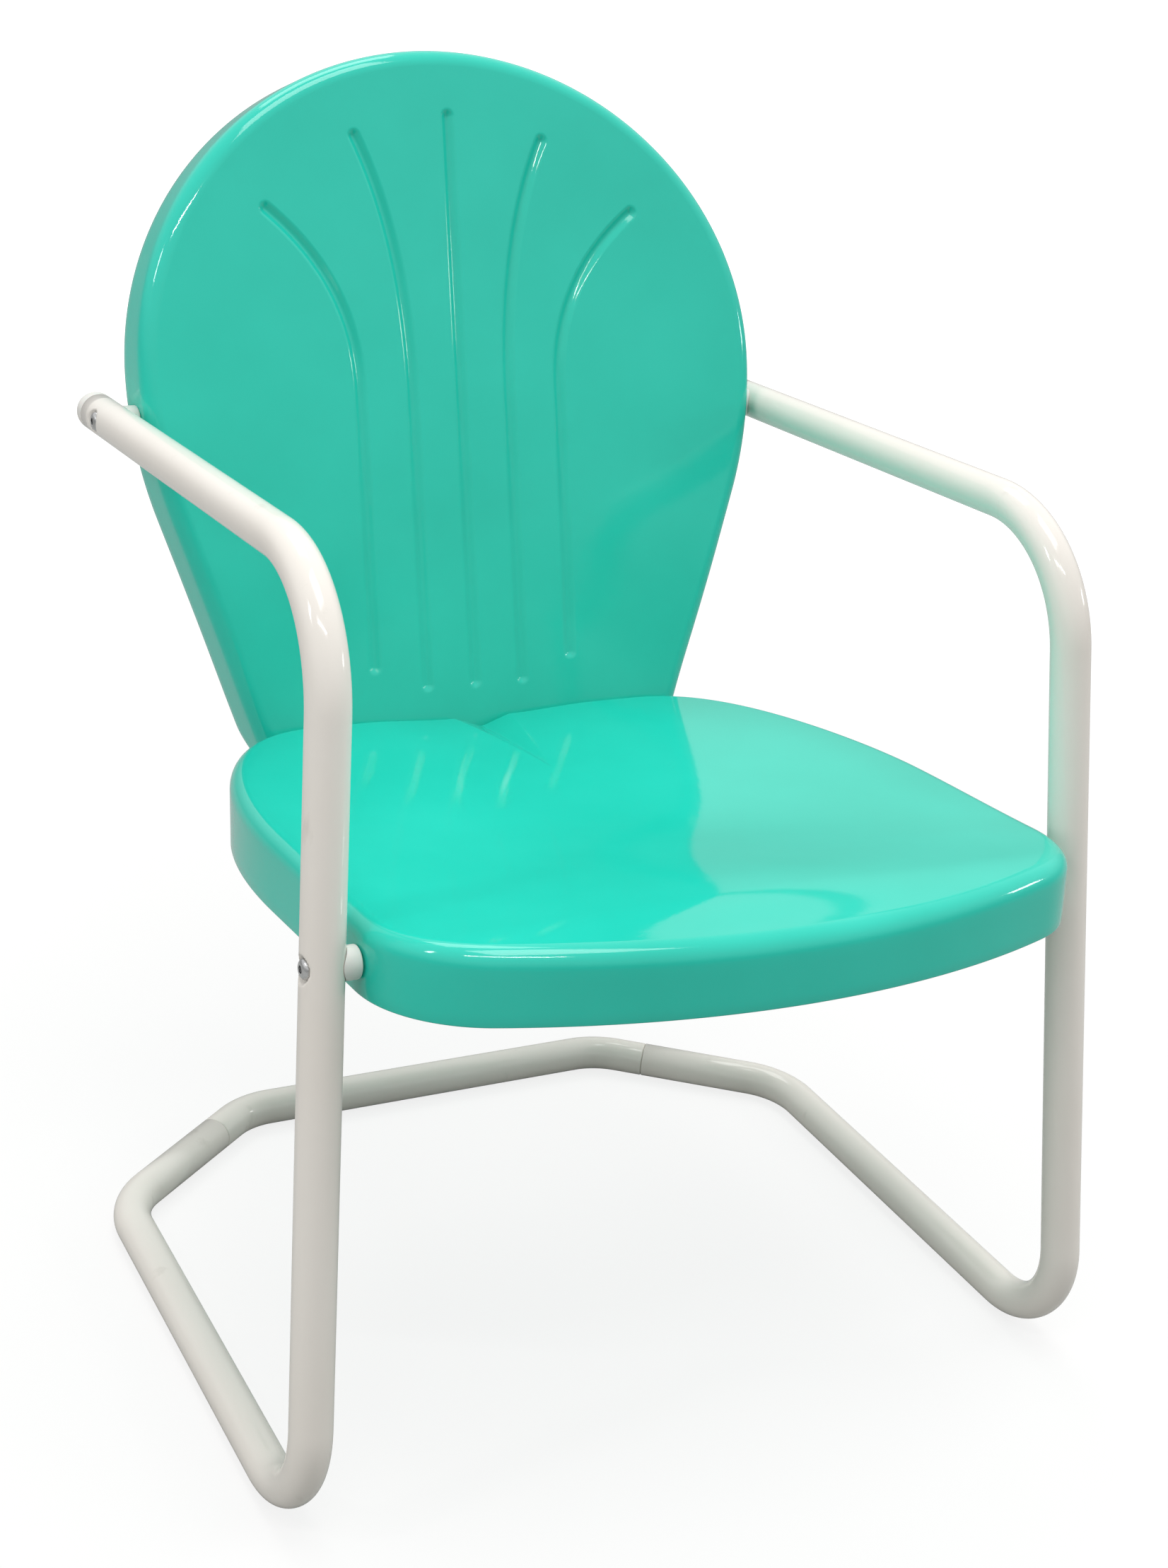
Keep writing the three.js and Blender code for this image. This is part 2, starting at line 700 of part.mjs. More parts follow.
// Side frames
function sideFrameRings(line) {
  const flat = line.armFront.clone().sub(line.foot)
    .cross(line.armPoint(armReach).sub(line.armFront)).normalize();
  const outward = flat.multiplyScalar(Math.sign(flat.x));
  const armEnd = line.armPoint(armReach + armTail);
  const corners = [armEnd, line.armFront, line.foot, line.runnerRear, line.stubEnd];
  const stubSide = line.stubDirection.clone().cross(zAxis).normalize();
  const runnerSide = xAxis.clone();
  if (stubSide.x < 0) {
    stubSide.negate();
  }
  return bentRings(corners, [armBendRadius, footBendRadius, runnerBendRadius],
    [outward, outward, runnerSide, stubSide]);
}

function barScrewAxis(line) {
  const inward = line.stubDirection.clone().cross(zAxis).normalize();
  if (inward.y > 0) {
    inward.negate();
  }
  return inward.multiplyScalar(Math.sin(facet)).addScaledVector(zAxis, -Math.cos(facet)).normalize();
}

function barScrewPoint(line) {
  return line.stubEnd.clone()
    .addScaledVector(line.stubDirection, -barScrewSetback)
    .addScaledVector(barScrewAxis(line), tubeRadius - barScrewSink);
}

// Screw with a sunk head, its outer face at height zero, pointing down the Y axis
function barScrewBlank(grow, length) {
  const shank = barScrewDiameter / 2 + grow;
  const head = barScrewHeadDiameter / 2 + grow;
  return turned([[0, -length], [shank, -length], [shank, -barScrewHeadDepth], [head, 0],
    ...(grow > 0 ? [[head, overrun], [0, overrun]] : [[0, 0]])]);
}

// A cup pressed into the outer side of a tube, which takes the head of a side bolt.
// wall is zero for its hollow, and the thickness of the tube for the metal around it.
function dimple(wall) {
  const floor = tubeRadius - dimpleDepth - wall;
  const lip = tubeRadius + overrun;
  const slope = (dimpleRadius - dimpleFloorRadius) / dimpleDepth;
  const lipRadius = dimpleRadius + overrun * slope + wall;
  return turned([[0, floor], [dimpleFloorRadius + wall, floor], [lipRadius, lip], [0, lip]], dimpleSides);
}

function pressSideBolt(tube, line, point) {
  const matrix = axisMatrix(point, xAxis.clone().multiplyScalar(line.hand));
  const along = placed(rod(boltDiameter / 2 + clearance, -tubeDiameter, tubeDiameter), matrix);
  const skin = solidOf(sweep(flatSidedShape(tubeRadius, 0), sideFrameRings(line)));
  const cup = placed(dimple(tubeWall), matrix).intersect(skin);
  return tube.add(cup).subtract(placed(dimple(0), matrix)).subtract(along);
}

function sideFrame(line) {
  const tube = solidOf(sweep(flatSidedShape(tubeRadius, boreRadius), sideFrameRings(line)));
  const screwHole = placed(barScrewBlank(clearance, barScrewLength + overrun),
    axisMatrix(barScrewPoint(line), barScrewAxis(line)));
  const seatBolted = pressSideBolt(tube, line, line.legPoint(seatBoltHeight));
  return pressSideBolt(seatBolted, line, line.armPoint(armReach)).subtract(screwHole);
}

// Floor bar: one tube with two bends, its ends swaged to slide into the side frames
function floorBar() {
  const swageRadius = boreRadius - clearance;
  const ends = ['left', 'right'].map((side) => {
    const line = lines[side];
    const shoulder = line.stubEnd.clone().addScaledVector(line.stubDirection, clearance);
    const neck = shoulder.clone().addScaledVector(line.stubDirection, -swageLength);
    return { line, shoulder, neck };
  });
  const upright = (line) => line.stubDirection.clone().cross(zAxis).normalize().multiplyScalar(line.hand);
  const [left, right] = ends;
  const rings = bentRings(
    [left.shoulder, left.line.barCorner, right.line.barCorner, right.shoulder],
    [barBendRadius, barBendRadius], [upright(left.line), yAxis, upright(right.line)]);
  const bar = solidOf(sweep(flatSidedShape(tubeRadius, boreRadius), rings));
  const necks = ends.map(({ line, shoulder, neck }) => {
    const side = upright(line);
    const root = shoulder.clone().addScaledVector(line.stubDirection, swageShoulder);
    const straight = [
      { point: neck, tangent: line.stubDirection, side },
      { point: root, tangent: line.stubDirection, side },
    ];
    return {
      neck: solidOf(sweep(flatSidedShape(swageRadius, swageRadius - swageWall), straight)),
      collar: solidOf(sweep(flatSidedShape(tubeRadius - tubeWall / 2, swageRadius - swageWall), [
        { point: shoulder, tangent: line.stubDirection, side },
        { point: root, tangent: line.stubDirection, side },
      ])),
      hole: placed(barScrewBlank(clearance, barScrewLength + overrun),
        axisMatrix(barScrewPoint(line), barScrewAxis(line))),
    };
  });
  return necks.reduce((solid, end) => solid.add(end.neck).add(end.collar).subtract(end.hole), bar);
}

// Cap: a dome over the tube's end and a hollow plug inside it, pointing along Y
function armCap() {
  const plug = boreRadius - clearance;
  const domeSteps = 4;
  const dome = Array.from({ length: domeSteps }, (_, i) => {
    const angle = ((i + 1) / domeSteps) * (Math.PI / 2);
    return [i + 1 === domeSteps ? 0 : tubeRadius * Math.cos(angle), capCollar + capDome * Math.sin(angle)];
  });
  return turned([
    [0, -clearance], [plug - capPlugWall, -clearance], [plug - capPlugWall, -capPlugLength],
    [plug, -capPlugLength], [plug, clearance], [tubeRadius, clearance], [tubeRadius, capCollar], ...dome,
  ], tubeSides);
}

// Spacer blank from the tube's axis inwards, before it is cut to the tube and the shell
function spacerBlank(grip) {
  const radius = spacerDiameter / 2;
  const bore = boltDiameter / 2 + clearance;
  return turned([
    [bore, -grip], [radius - spacerEdge, -grip], [radius, spacerEdge - grip],
    [radius, 0], [bore, 0], [bore, -grip],
  ], tubeSides);
}

function tubeRoom(from, to, side) {
  const tangent = to.clone().sub(from).normalize();
  return solidOf(sweep(flatSidedShape(tubeRadius + clearance, 0), [
    { point: from, tangent, side },
    { point: to, tangent, side },
  ]));
}

function frameFlat(line) {
  const rings = sideFrameRings(line);
  return rings[0].side;
}

function seatSpacer(line) {
  const point = line.legPoint(seatBoltHeight);
  const grip = seatStack - clearance;
  const outward = xAxis.clone().multiplyScalar(line.hand);
  const room = tubeRoom(line.legPoint(seatBoltHeight - spacerDiameter),
    line.legPoint(seatBoltHeight + spacerDiameter), frameFlat(line));
  return placed(spacerBlank(grip), axisMatrix(point, outward)).subtract(room);
}

function backSpacer(line, keepOut) {
  const point = line.armPoint(armReach);
  const grip = backStack + overrun;
  const outward = xAxis.clone().multiplyScalar(line.hand);
  const room = tubeRoom(line.armPoint(armReach - spacerDiameter),
    line.armPoint(armReach + spacerDiameter), frameFlat(line));
  return placed(spacerBlank(grip), axisMatrix(point, outward)).subtract(room).subtract(keepOut);
}

// Domed head of a bolt, as shares of its radius and height
const buttonHeadShares = [[1, 0], [1, 0.35], [0.76, 0.82], [0.5, 1], [0, 1]];

// Bolt with a domed head and a six-sided socket, its shank down the Y axis from height zero
function buttonBolt({ diameter, head, headHeight, socket, socketDepth, length }) {
  const radius = diameter / 2;
  const blank = turned([
    [0, -length], [radius, -length], [radius, 0],
    ...buttonHeadShares.map(([across, up]) => [(head / 2) * across, headHeight * up]),
  ]);
  const key = new THREE.ExtrudeGeometry(flatSidedShape(socket / 2, 0, 6),
    { depth: socketDepth + overrun, bevelEnabled: false });
  const cut = solidOf(key).transform(new THREE.Matrix4().makeRotationX(-Math.PI / 2).toArray());
  return blank.subtract(cut.translate([0, headHeight - socketDepth, 0]));
}

function ringAlongY(shape, depth) {
  const geometry = new THREE.ExtrudeGeometry(shape, { depth, bevelEnabled: false });
  return geometry.rotateX(-Math.PI / 2);
}

function hexNut(acrossFlats, bore, height) {
  const shape = flatSidedShape(acrossFlats / 2, 0, 6);
  shape.holes.push(new THREE.Path(flatSidedPoints(bore, fastenerSides).reverse()));
  return ringAlongY(shape, height);
}

function washer(diameter, bore, thickness) {
  return ringAlongY(flatSidedShape(diameter / 2, bore, fastenerSides), thickness);
}

// The chair
const chair = new THREE.Group();
chair.name = 'lawn_chair';

const seatGroup = new THREE.Group();
seatGroup.position.copy(seatOrigin);
seatGroup.rotation.copy(seatTurn);
seatGroup.add(piece('seat_pan', seatPan(), paintedSteel));
chair.add(seatGroup);

const backGroup = new THREE.Group();
backGroup.position.copy(backOrigin);
backGroup.rotation.copy(backTurn);
const backPressing = new THREE.Group();
backPressing.rotation.x = Math.PI / 2;
backPressing.add(piece('back_shell', backShell(), paintedSteel));
backGroup.add(backPressing);
chair.add(backGroup);

chair.updateMatrixWorld(true);
const keepOutOfBack = placed(backKeepOut(), backPressing.matrixWorld);

// Half the width of a many-sided outline at a height
function outlineHalfWidth(outline, height) {
  return outline.reduce((widest, point, i) => {
    const next = outline[(i + 1) % outline.length];
    const spans = (point.y - height) * (next.y - height) <= 0;
    if (!spans || point.y === next.y) {
      return widest;
    }
    const share = (height - point.y) / (next.y - point.y);
    return Math.max(widest, point.x + (next.x - point.x) * share);
  }, 0);
}

// The flanges curve away from their side bolts, so the washers stand off by this much
function washerStandOff(outline, room, height) {
  const gaps = [-1, 0, 1].map((share) => (
    room - outlineHalfWidth(outline, height + share * (washerDiameter / 2))));
  return clearance + Math.max(...gaps);
}

const seatStandOff = washerStandOff(seatOutline(), seatHalfWidth, seatBoltLine);
const backStandOff = washerStandOff(backOutline(), backBoltPoint.x - backStack, backBoltRise);

// A side bolt with its washer and nut; origin on the tube's axis, outward along the bolt
function addSideBolt(names, origin, outward, stack, standOff) {
  const headSeat = tubeRadius - dimpleDepth + clearance;
  const innerFace = -(stack + sheet + standOff);
  const nutFace = innerFace - washerThickness - clearance;
  const end = nutFace - nutHeight - boltProud;
  const bore = boltDiameter / 2 + clearance;
  const group = placeAlong(new THREE.Group(), origin, outward);
  const bolt = piece(names.bolt, buttonBolt({
    diameter: boltDiameter,
    head: boltHeadDiameter,
    headHeight: boltHeadHeight,
    socket: boltSocket,
    socketDepth: boltSocketDepth,
    length: headSeat - end,
  }), brightSteel);
  bolt.position.y = headSeat;
  const ring = piece(names.washer, washer(washerDiameter, bore, washerThickness), brightSteel);
  ring.position.y = innerFace - washerThickness;
  const nut = piece(names.nut, hexNut(nutAcrossFlats, bore, nutHeight), brightSteel);
  nut.position.y = nutFace - nutHeight;
  group.add(bolt, ring, nut);
  chair.add(group);
}

// A lower bolt: head and washer behind the back, washer and nut inside the seat
function addLowerBolt(names, origin) {
  const group = placeAlong(new THREE.Group(), origin, yAxis);
  const bore = lowerBoltDiameter / 2 + clearance;
  const rearFace = sheet + clearance;
  const headFace = rearFace + lowerWasherThickness + clearance;
  const frontFace = -(sheet + 2 * clearance);
  const nutFace = frontFace - lowerWasherThickness - clearance;
  const end = nutFace - lowerNutHeight - boltProud;
  const bolt = piece(names.bolt, buttonBolt({
    diameter: lowerBoltDiameter,
    head: lowerBoltHeadDiameter,
    headHeight: lowerBoltHeadHeight,
    socket: lowerBoltSocket,
    socketDepth: lowerBoltSocketDepth,
    length: headFace - end,
  }), brightSteel);
  bolt.position.y = headFace;
  const ringShape = () => washer(lowerWasherDiameter, bore, lowerWasherThickness);
  const rearRing = piece(names.rearWasher, ringShape(), brightSteel);
  rearRing.position.y = rearFace;
  const frontRing = piece(names.frontWasher, ringShape(), brightSteel);
  frontRing.position.y = frontFace - lowerWasherThickness;
  const nut = piece(names.nut, hexNut(lowerNutAcrossFlats, bore, lowerNutHeight), brightSteel);
  nut.position.y = nutFace - lowerNutHeight;
  group.add(bolt, rearRing, frontRing, nut);
  backGroup.add(group);
}

chair.add(piece('floor_bar', floorBar(), tubePaint));

Object.entries(lines).forEach(([side, line]) => {
  const outward = xAxis.clone().multiplyScalar(line.hand);
  chair.add(piece(`${side}_side_frame`, sideFrame(line), tubePaint));
  chair.add(piece(`${side}_seat_spacer`, seatSpacer(line), whitePlastic));
  chair.add(piece(`${side}_back_spacer`, backSpacer(line, keepOutOfBack), whitePlastic));
  const armEnd = line.armPoint(armReach + armTail);
  const armDirection = armEnd.clone().sub(line.armFront).normalize();
  chair.add(placeAlong(piece(`${side}_arm_cap`, armCap(), whitePlastic), armEnd, armDirection));
  addSideBolt({
    bolt: `${side}_seat_bolt`, washer: `${side}_seat_washer`, nut: `${side}_seat_nut`,
  }, line.legPoint(seatBoltHeight), outward, seatStack, seatStandOff);
  addSideBolt({
    bolt: `${side}_back_bolt`, washer: `${side}_back_washer`, nut: `${side}_back_nut`,
  }, line.armPoint(armReach), outward, backStack, backStandOff);
  const screw = piece(`${side}_bar_screw`, barScrewBlank(0, barScrewLength), brightSteel);
  chair.add(placeAlong(screw, barScrewPoint(line), barScrewAxis(line)));
});

lowerBoltPoints().forEach((point, i) => {
  const place = ['left', 'middle', 'right'][i];
  addLowerBolt({
    bolt: `${place}_lower_bolt`,
    rearWasher: `${place}_lower_rear_washer`,
    frontWasher: `${place}_lower_front_washer`,
    nut: `${place}_lower_nut`,
  }, point);
});

// The origin lies on the floor under the middle of the whole chair
const extent = new THREE.Box3().setFromObject(chair, true);
chair.position.y = -(extent.min.y + extent.max.y) / 2;

export default chair;
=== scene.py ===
# %% [markdown]
# # A metal lawn chair in Blender
# The real chair has three kinds of parts. Steel tube is bent into two side frames and a bar
# across the floor. Sheet steel is pressed into a dished seat and a rounded back. Small bolts
# and plastic spacers hold them together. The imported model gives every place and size, so this
# lesson only makes finer skins over the same forms, then paints and lights them.

# %% Load the frame
import math

import bpy
import numpy as np
from mathutils import Matrix, Vector, kdtree
from mathutils.geometry import delaunay_2d_cdt


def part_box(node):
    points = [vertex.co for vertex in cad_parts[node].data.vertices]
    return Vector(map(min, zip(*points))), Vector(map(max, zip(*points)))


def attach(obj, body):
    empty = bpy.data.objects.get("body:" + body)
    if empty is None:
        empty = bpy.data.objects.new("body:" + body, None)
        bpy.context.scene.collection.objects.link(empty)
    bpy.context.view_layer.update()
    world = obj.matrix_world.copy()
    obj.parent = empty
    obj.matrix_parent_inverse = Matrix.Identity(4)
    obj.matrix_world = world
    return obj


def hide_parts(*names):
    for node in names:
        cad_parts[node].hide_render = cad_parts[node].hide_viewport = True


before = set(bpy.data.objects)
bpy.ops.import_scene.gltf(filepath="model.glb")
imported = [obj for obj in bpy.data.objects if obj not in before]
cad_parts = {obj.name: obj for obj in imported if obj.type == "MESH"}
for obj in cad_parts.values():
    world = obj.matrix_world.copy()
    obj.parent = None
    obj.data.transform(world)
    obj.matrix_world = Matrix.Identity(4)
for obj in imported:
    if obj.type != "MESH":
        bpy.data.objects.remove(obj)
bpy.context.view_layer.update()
MM = 0.001

# %% [markdown]
# ## Sizes of the bent tubes
# The numbers are in millimetres and follow the model's source. They are given in a frame whose
# origin lies under the front bend of the side tubes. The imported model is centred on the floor
# instead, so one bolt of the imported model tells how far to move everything.

# %% Tube sizes
CLEARANCE = 0.3
TUBE_RADIUS = 14.3
TUBE_WALL = 1.6
FOOT_HALF, ARM_HALF, ARM_END_HALF = 301.9, 273.2, 278.5
ARM_HEIGHT, LEG_LEAN = 623.4, 114.9
ARM_REACH, ARM_DROP, ARM_TAIL = 430, 21, 28
RUNNER_LENGTH, STUB_LENGTH = 402.6, 126
BAR_HALF, BAR_SETBACK = 166, 106
ARM_BEND, FOOT_BEND, RUNNER_BEND, BAR_BEND = 99, 64, 62, 62
SEAT_BOLT_HEIGHT = 389.2
HANDS = (("left", -1), ("right", 1))


def arm_front(hand):
    return Vector((hand * ARM_HALF, LEG_LEAN, ARM_HEIGHT))


def foot(hand):
    return Vector((hand * FOOT_HALF, 0, TUBE_RADIUS))


def arm_point(hand, reach):
    end = Vector((hand * ARM_END_HALF, LEG_LEAN + ARM_REACH, ARM_HEIGHT - ARM_DROP))
    return arm_front(hand).lerp(end, reach / ARM_REACH)


def leg_point(hand, height):
    share = (height - TUBE_RADIUS) / (ARM_HEIGHT - TUBE_RADIUS)
    return foot(hand).lerp(arm_front(hand), share)


low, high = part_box("left_seat_bolt")
SHIFT = (low.y + high.y) / 2 / MM - leg_point(-1, SEAT_BOLT_HEIGHT).y
print("moved to the packed place by", round(SHIFT, 2), "mm")


def to_world(point):
    return Vector((point.x, point.y + SHIFT, point.z)) * MM


# %% [markdown]
# ## The camera
# The photographer stood to the left of the chair and a little above it. Focal length, place and
# turn come from lines of the chair that are level, upright or parallel. They are set once here,
# and nothing later depends on them.

# %% Camera
PHOTO_HEIGHT = 2218
FOCAL_PIXELS = 3264.3
SENSOR = 36
AZIMUTH, ELEVATION, ROLL = 0.509685, 0.394952, -0.098958
CAMERA_PLACE = Vector((-761.5, -1084.1, 1042.5))

ahead = Vector((
    math.sin(AZIMUTH) * math.cos(ELEVATION),
    math.cos(AZIMUTH) * math.cos(ELEVATION),
    -math.sin(ELEVATION),
))
level = ahead.cross(Vector((0, 0, 1))).normalized()
plumb = ahead.cross(level)
across = level * math.cos(ROLL) + plumb * math.sin(ROLL)
below = plumb * math.cos(ROLL) - level * math.sin(ROLL)

camera = bpy.data.objects.new("camera", bpy.data.cameras.new("camera"))
camera.data.sensor_width = SENSOR
camera.data.lens = FOCAL_PIXELS / PHOTO_HEIGHT * SENSOR
turn = Matrix((across, -below, -ahead)).transposed().to_4x4()
camera.matrix_world = Matrix.Translation(to_world(CAMERA_PLACE)) @ turn
bpy.context.scene.collection.objects.link(camera)
bpy.context.scene.camera = camera
print("lens", round(camera.data.lens, 2), "mm")

# %% [markdown]
# ## Paint, plastic and bright steel
# The chair is powder coated. Such a coat is glossy, but a fine ripple like orange peel breaks
# its reflections, and its colour and gloss drift a little over a hand's width. A noise texture
# on Object coordinates makes each of these, so they sit still on the surface from all sides.

# %% Material helpers
def new_material(name):
    material = bpy.data.materials.new(name)
    material.use_nodes = True
    return material, material.node_tree


def fill_socket(tree, socket, value):
    """A number stays on the socket, and the output of another node is linked to it."""
    if isinstance(value, bpy.types.NodeSocket):
        tree.links.new(value, socket)
    else:
        socket.default_value = value


def math_node(tree, operation, *values):
    node = tree.nodes.new("ShaderNodeMath")
    node.operation = operation
    for socket, value in zip(node.inputs, values):
        fill_socket(tree, socket, value)
    return node.outputs["Value"]


def add_range(tree, value, low, high, start=0.3, end=0.7, kind="LINEAR"):
    node = tree.nodes.new("ShaderNodeMapRange")
    node.interpolation_type = kind
    labels = ("Value", "From Min", "From Max", "To Min", "To Max")
    for label, filling in zip(labels, (value, start, end, low, high)):
        fill_socket(tree, node.inputs[label], filling)
    return node.outputs["Result"]


def add_noise(tree, coordinates, scale, detail=2.0, stretch=None):
    noise = tree.nodes.new("ShaderNodeTexNoise")
    noise.inputs["Scale"].default_value = scale
    noise.inputs["Detail"].default_value = detail
    if stretch:
        mapping = tree.nodes.new("ShaderNodeMapping")
        mapping.inputs["Scale"].default_value = stretch
        tree.links.new(coordinates, mapping.inputs["Vector"])
        coordinates = mapping.outputs["Vector"]
    tree.links.new(coordinates, noise.inputs["Vector"])
    return noise.outputs["Fac"]


def add_ramp(tree, value, start, dark, end, light):
    ramp = tree.nodes.new("ShaderNodeValToRGB")
    for element, place, colour in zip(ramp.color_ramp.elements, (start, end), (dark, light)):
        element.position = place
        element.color = (*colour, 1)
    tree.links.new(value, ramp.inputs["Fac"])
    return ramp.outputs["Color"]


def add_bump(tree, value, distance, strength, before=None):
    bump = tree.nodes.new("ShaderNodeBump")
    bump.inputs["Distance"].default_value = distance
    bump.inputs["Strength"].default_value = strength
    tree.links.new(value, bump.inputs["Height"])
    if before:
        tree.links.new(before, bump.inputs["Normal"])
    return bump.outputs["Normal"]


# %% Powder coat
TINT_SCALE, GLOSS_SCALE = 7, 11
PEEL_SCALE, PEEL_HEIGHT, PEEL_STRENGTH = 420, 0.00006, 0.35
WAVE_SCALE, WAVE_HEIGHT, WAVE_STRENGTH = 60, 0.001, 0.05
SCUFF_SCALE, SCUFF_STRETCH, SCUFF_START, SCUFF_END = 38, (1, 1, 0.35), 0.66, 0.78


def add_scuffs(tree, place, colour, scuff, share):
    """Mixes in the scuff's colour. A colour mix has its sockets at places 0, 6 and 7."""
    marks = add_noise(tree, place, SCUFF_SCALE, 6, SCUFF_STRETCH)
    mix = tree.nodes.new("ShaderNodeMix")
    mix.data_type = "RGBA"
    tree.links.new(add_range(tree, marks, 0, share, SCUFF_START, SCUFF_END), mix.inputs[0])
    tree.links.new(colour, mix.inputs[6])
    mix.inputs[7].default_value = (*scuff, 1)
    return mix.outputs[2]


def powder_coat(name, dark, light, gloss, scuff=None):
    material, tree = new_material(name)
    shader = tree.nodes["Principled BSDF"]
    place = tree.nodes.new("ShaderNodeTexCoord").outputs["Object"]
    colour = add_ramp(tree, add_noise(tree, place, TINT_SCALE, 3), 0.3, dark, 0.7, light)
    if scuff:
        colour = add_scuffs(tree, place, colour, *scuff)
    roughness = add_range(tree, add_noise(tree, place, GLOSS_SCALE, 4), *gloss)
    slow = add_bump(tree, add_noise(tree, place, WAVE_SCALE, 1), WAVE_HEIGHT, WAVE_STRENGTH)
    peel = add_noise(tree, place, PEEL_SCALE, 2)
    ripple = add_bump(tree, peel, PEEL_HEIGHT, PEEL_STRENGTH, slow)
    tree.links.new(colour, shader.inputs["Base Color"])
    tree.links.new(roughness, shader.inputs["Roughness"])
    tree.links.new(ripple, shader.inputs["Normal"])
    return material


shell_paint = powder_coat(
    "turquoise powder coat", (0.013, 0.565, 0.435), (0.020, 0.612, 0.478), (0.05, 0.09))
tube_paint = powder_coat(
    "off-white powder coat", (0.825, 0.782, 0.720), (0.852, 0.815, 0.758), (0.07, 0.13),
    ((0.42, 0.38, 0.32), 0.35))
print("powder coats", shell_paint.name, tube_paint.name)

# %% Plastic and steel
def cloudy_finish(name, cloud, ramp, gloss, grain, bump):
    material, tree = new_material(name)
    shader = tree.nodes["Principled BSDF"]
    place = tree.nodes.new("ShaderNodeTexCoord").outputs["Object"]
    drift = add_noise(tree, place, *cloud)
    tree.links.new(add_ramp(tree, drift, *ramp), shader.inputs["Base Color"])
    tree.links.new(add_range(tree, drift, *gloss), shader.inputs["Roughness"])
    relief = add_bump(tree, add_noise(tree, place, *grain), *bump)
    tree.links.new(relief, shader.inputs["Normal"])
    return material, shader.inputs


white_plastic, sockets = cloudy_finish(
    "white moulded plastic", (40, 3), (0.3, (0.74, 0.73, 0.69), 0.7, (0.82, 0.81, 0.77)),
    (0.38, 0.5), (900, 2), (0.0001, 0.3))
sockets["Subsurface Weight"].default_value = 0.05
sockets["Subsurface Scale"].default_value = 0.002
bright_steel, sockets = cloudy_finish(
    "bright zinc plate", (160, 4), (0.25, (0.42, 0.42, 0.41), 0.75, (0.66, 0.67, 0.68)),
    (0.16, 0.34), (1500, 3, (0.3, 1, 1)), (0.00005, 0.4))
sockets["Metallic"].default_value = 1.0
print("fittings", white_plastic.name, bright_steel.name)

# %% [markdown]
# ## Bent tubes with Geometry Nodes
# A tube bender keeps one round section along a path of straight runs and arcs. A node tree does
# the same: a chain of edges becomes a curve, and a circle is swept along it. The tree also
# presses the two shallow cups that take the heads of the side bolts, by moving the points that
# lie outside the cup's profile inwards.

# %% Path of a bent tube
ARC_STEP = math.radians(2.5)
FINE_REACH, FINE_SPACING = 13.0, 1.0
LEAST_STEP = 0.05


def bent_line(corners, radii):
    points = [corners[0]]
    for before, corner, after, radius in zip(corners, corners[1:], corners[2:], radii):
        into = (corner - before).normalized()
        out = (after - corner).normalized()
        angle = into.angle(out)
        axis = into.cross(out).normalized()
        start = corner - into * radius * math.tan(angle / 2)
        centre = start + axis.cross(into) * radius
        count = math.ceil(angle / ARC_STEP)
        for i in range(count + 1):
            points.append(centre + Matrix.Rotation(angle * i / count, 3, axis) @ (start - centre))
    points.append(corners[-1])
    return points


def with_fine_rings(points, centre):
    """Adds rings on the run that passes the centre, within reach of it."""
    fine = [points[0]]
    for a, b in zip(points, points[1:]):
        along = (b - a).normalized()
        middle = (centre - a).dot(along)
        off_line = (centre - a - along * middle).length
        first = max(middle - FINE_REACH, 0)
        last = min(middle + FINE_REACH, (b - a).length)
        if off_line < 1 and last > first:
            count = math.ceil((last - first) / FINE_SPACING)
            fine += [a + along * (first + (last - first) * i / count) for i in range(count + 1)]
        fine.append(b)
    kept = [fine[0]]
    for point in fine[1:]:
        if (point - kept[-1]).length > LEAST_STEP:
            kept.append(point)
    return kept


# %% Node tree of a bent tube
def link_pairs(tree, *pairs):
    for source, target in pairs:
        tree.links.new(source, target)


def new_tree(name, inputs):
    tree = bpy.data.node_groups.new(name, "GeometryNodeTree")
    tree.interface.new_socket("Geometry", in_out="INPUT", socket_type="NodeSocketGeometry")
    sockets = {}
    for label, kind, value in inputs:
        socket = tree.interface.new_socket(label, in_out="INPUT", socket_type="NodeSocket" + kind)
        if value is not None:
            socket.default_value = value
        sockets[label] = socket.identifier
    tree.interface.new_socket("Geometry", in_out="OUTPUT", socket_type="NodeSocketGeometry")
    return tree, sockets


def finish_tree(tree, geometry, group_in):
    realize = tree.nodes.new("GeometryNodeRealizeInstances")
    paint = tree.nodes.new("GeometryNodeSetMaterial")
    out = tree.nodes.new("NodeGroupOutput")
    link_pairs(
        tree,
        (geometry, realize.inputs["Geometry"]),
        (realize.outputs["Geometry"], paint.inputs["Geometry"]),
        (group_in.outputs["Material"], paint.inputs["Material"]),
        (paint.outputs["Geometry"], out.inputs["Geometry"]))


CUPS = ("Front cup", "Rear cup")
CUP_DEPTH, CUP_FLOOR_RADIUS, CUP_RIM_RADIUS = 4.7, 7.2, 10.4
CUP_REACH, OVER_TUBE_SHARE = 20, 1.02
TUBE_SIDES = 72
NO_CUP = (0, 0, -10)
tube_tree, tube_sockets = new_tree("bent tube", [
    ("Radius", "Float", TUBE_RADIUS * MM),
    ("Sides", "Int", TUBE_SIDES),
    ("Hand", "Float", 1.0),
    ("Cup rim radius", "Float", CUP_RIM_RADIUS * MM),
    ("Cup floor radius", "Float", CUP_FLOOR_RADIUS * MM),
    ("Cup floor distance", "Float", (TUBE_RADIUS - CUP_DEPTH) * MM),
    *[(cup, "Vector", NO_CUP) for cup in CUPS],
    ("Material", "Material", None),
])


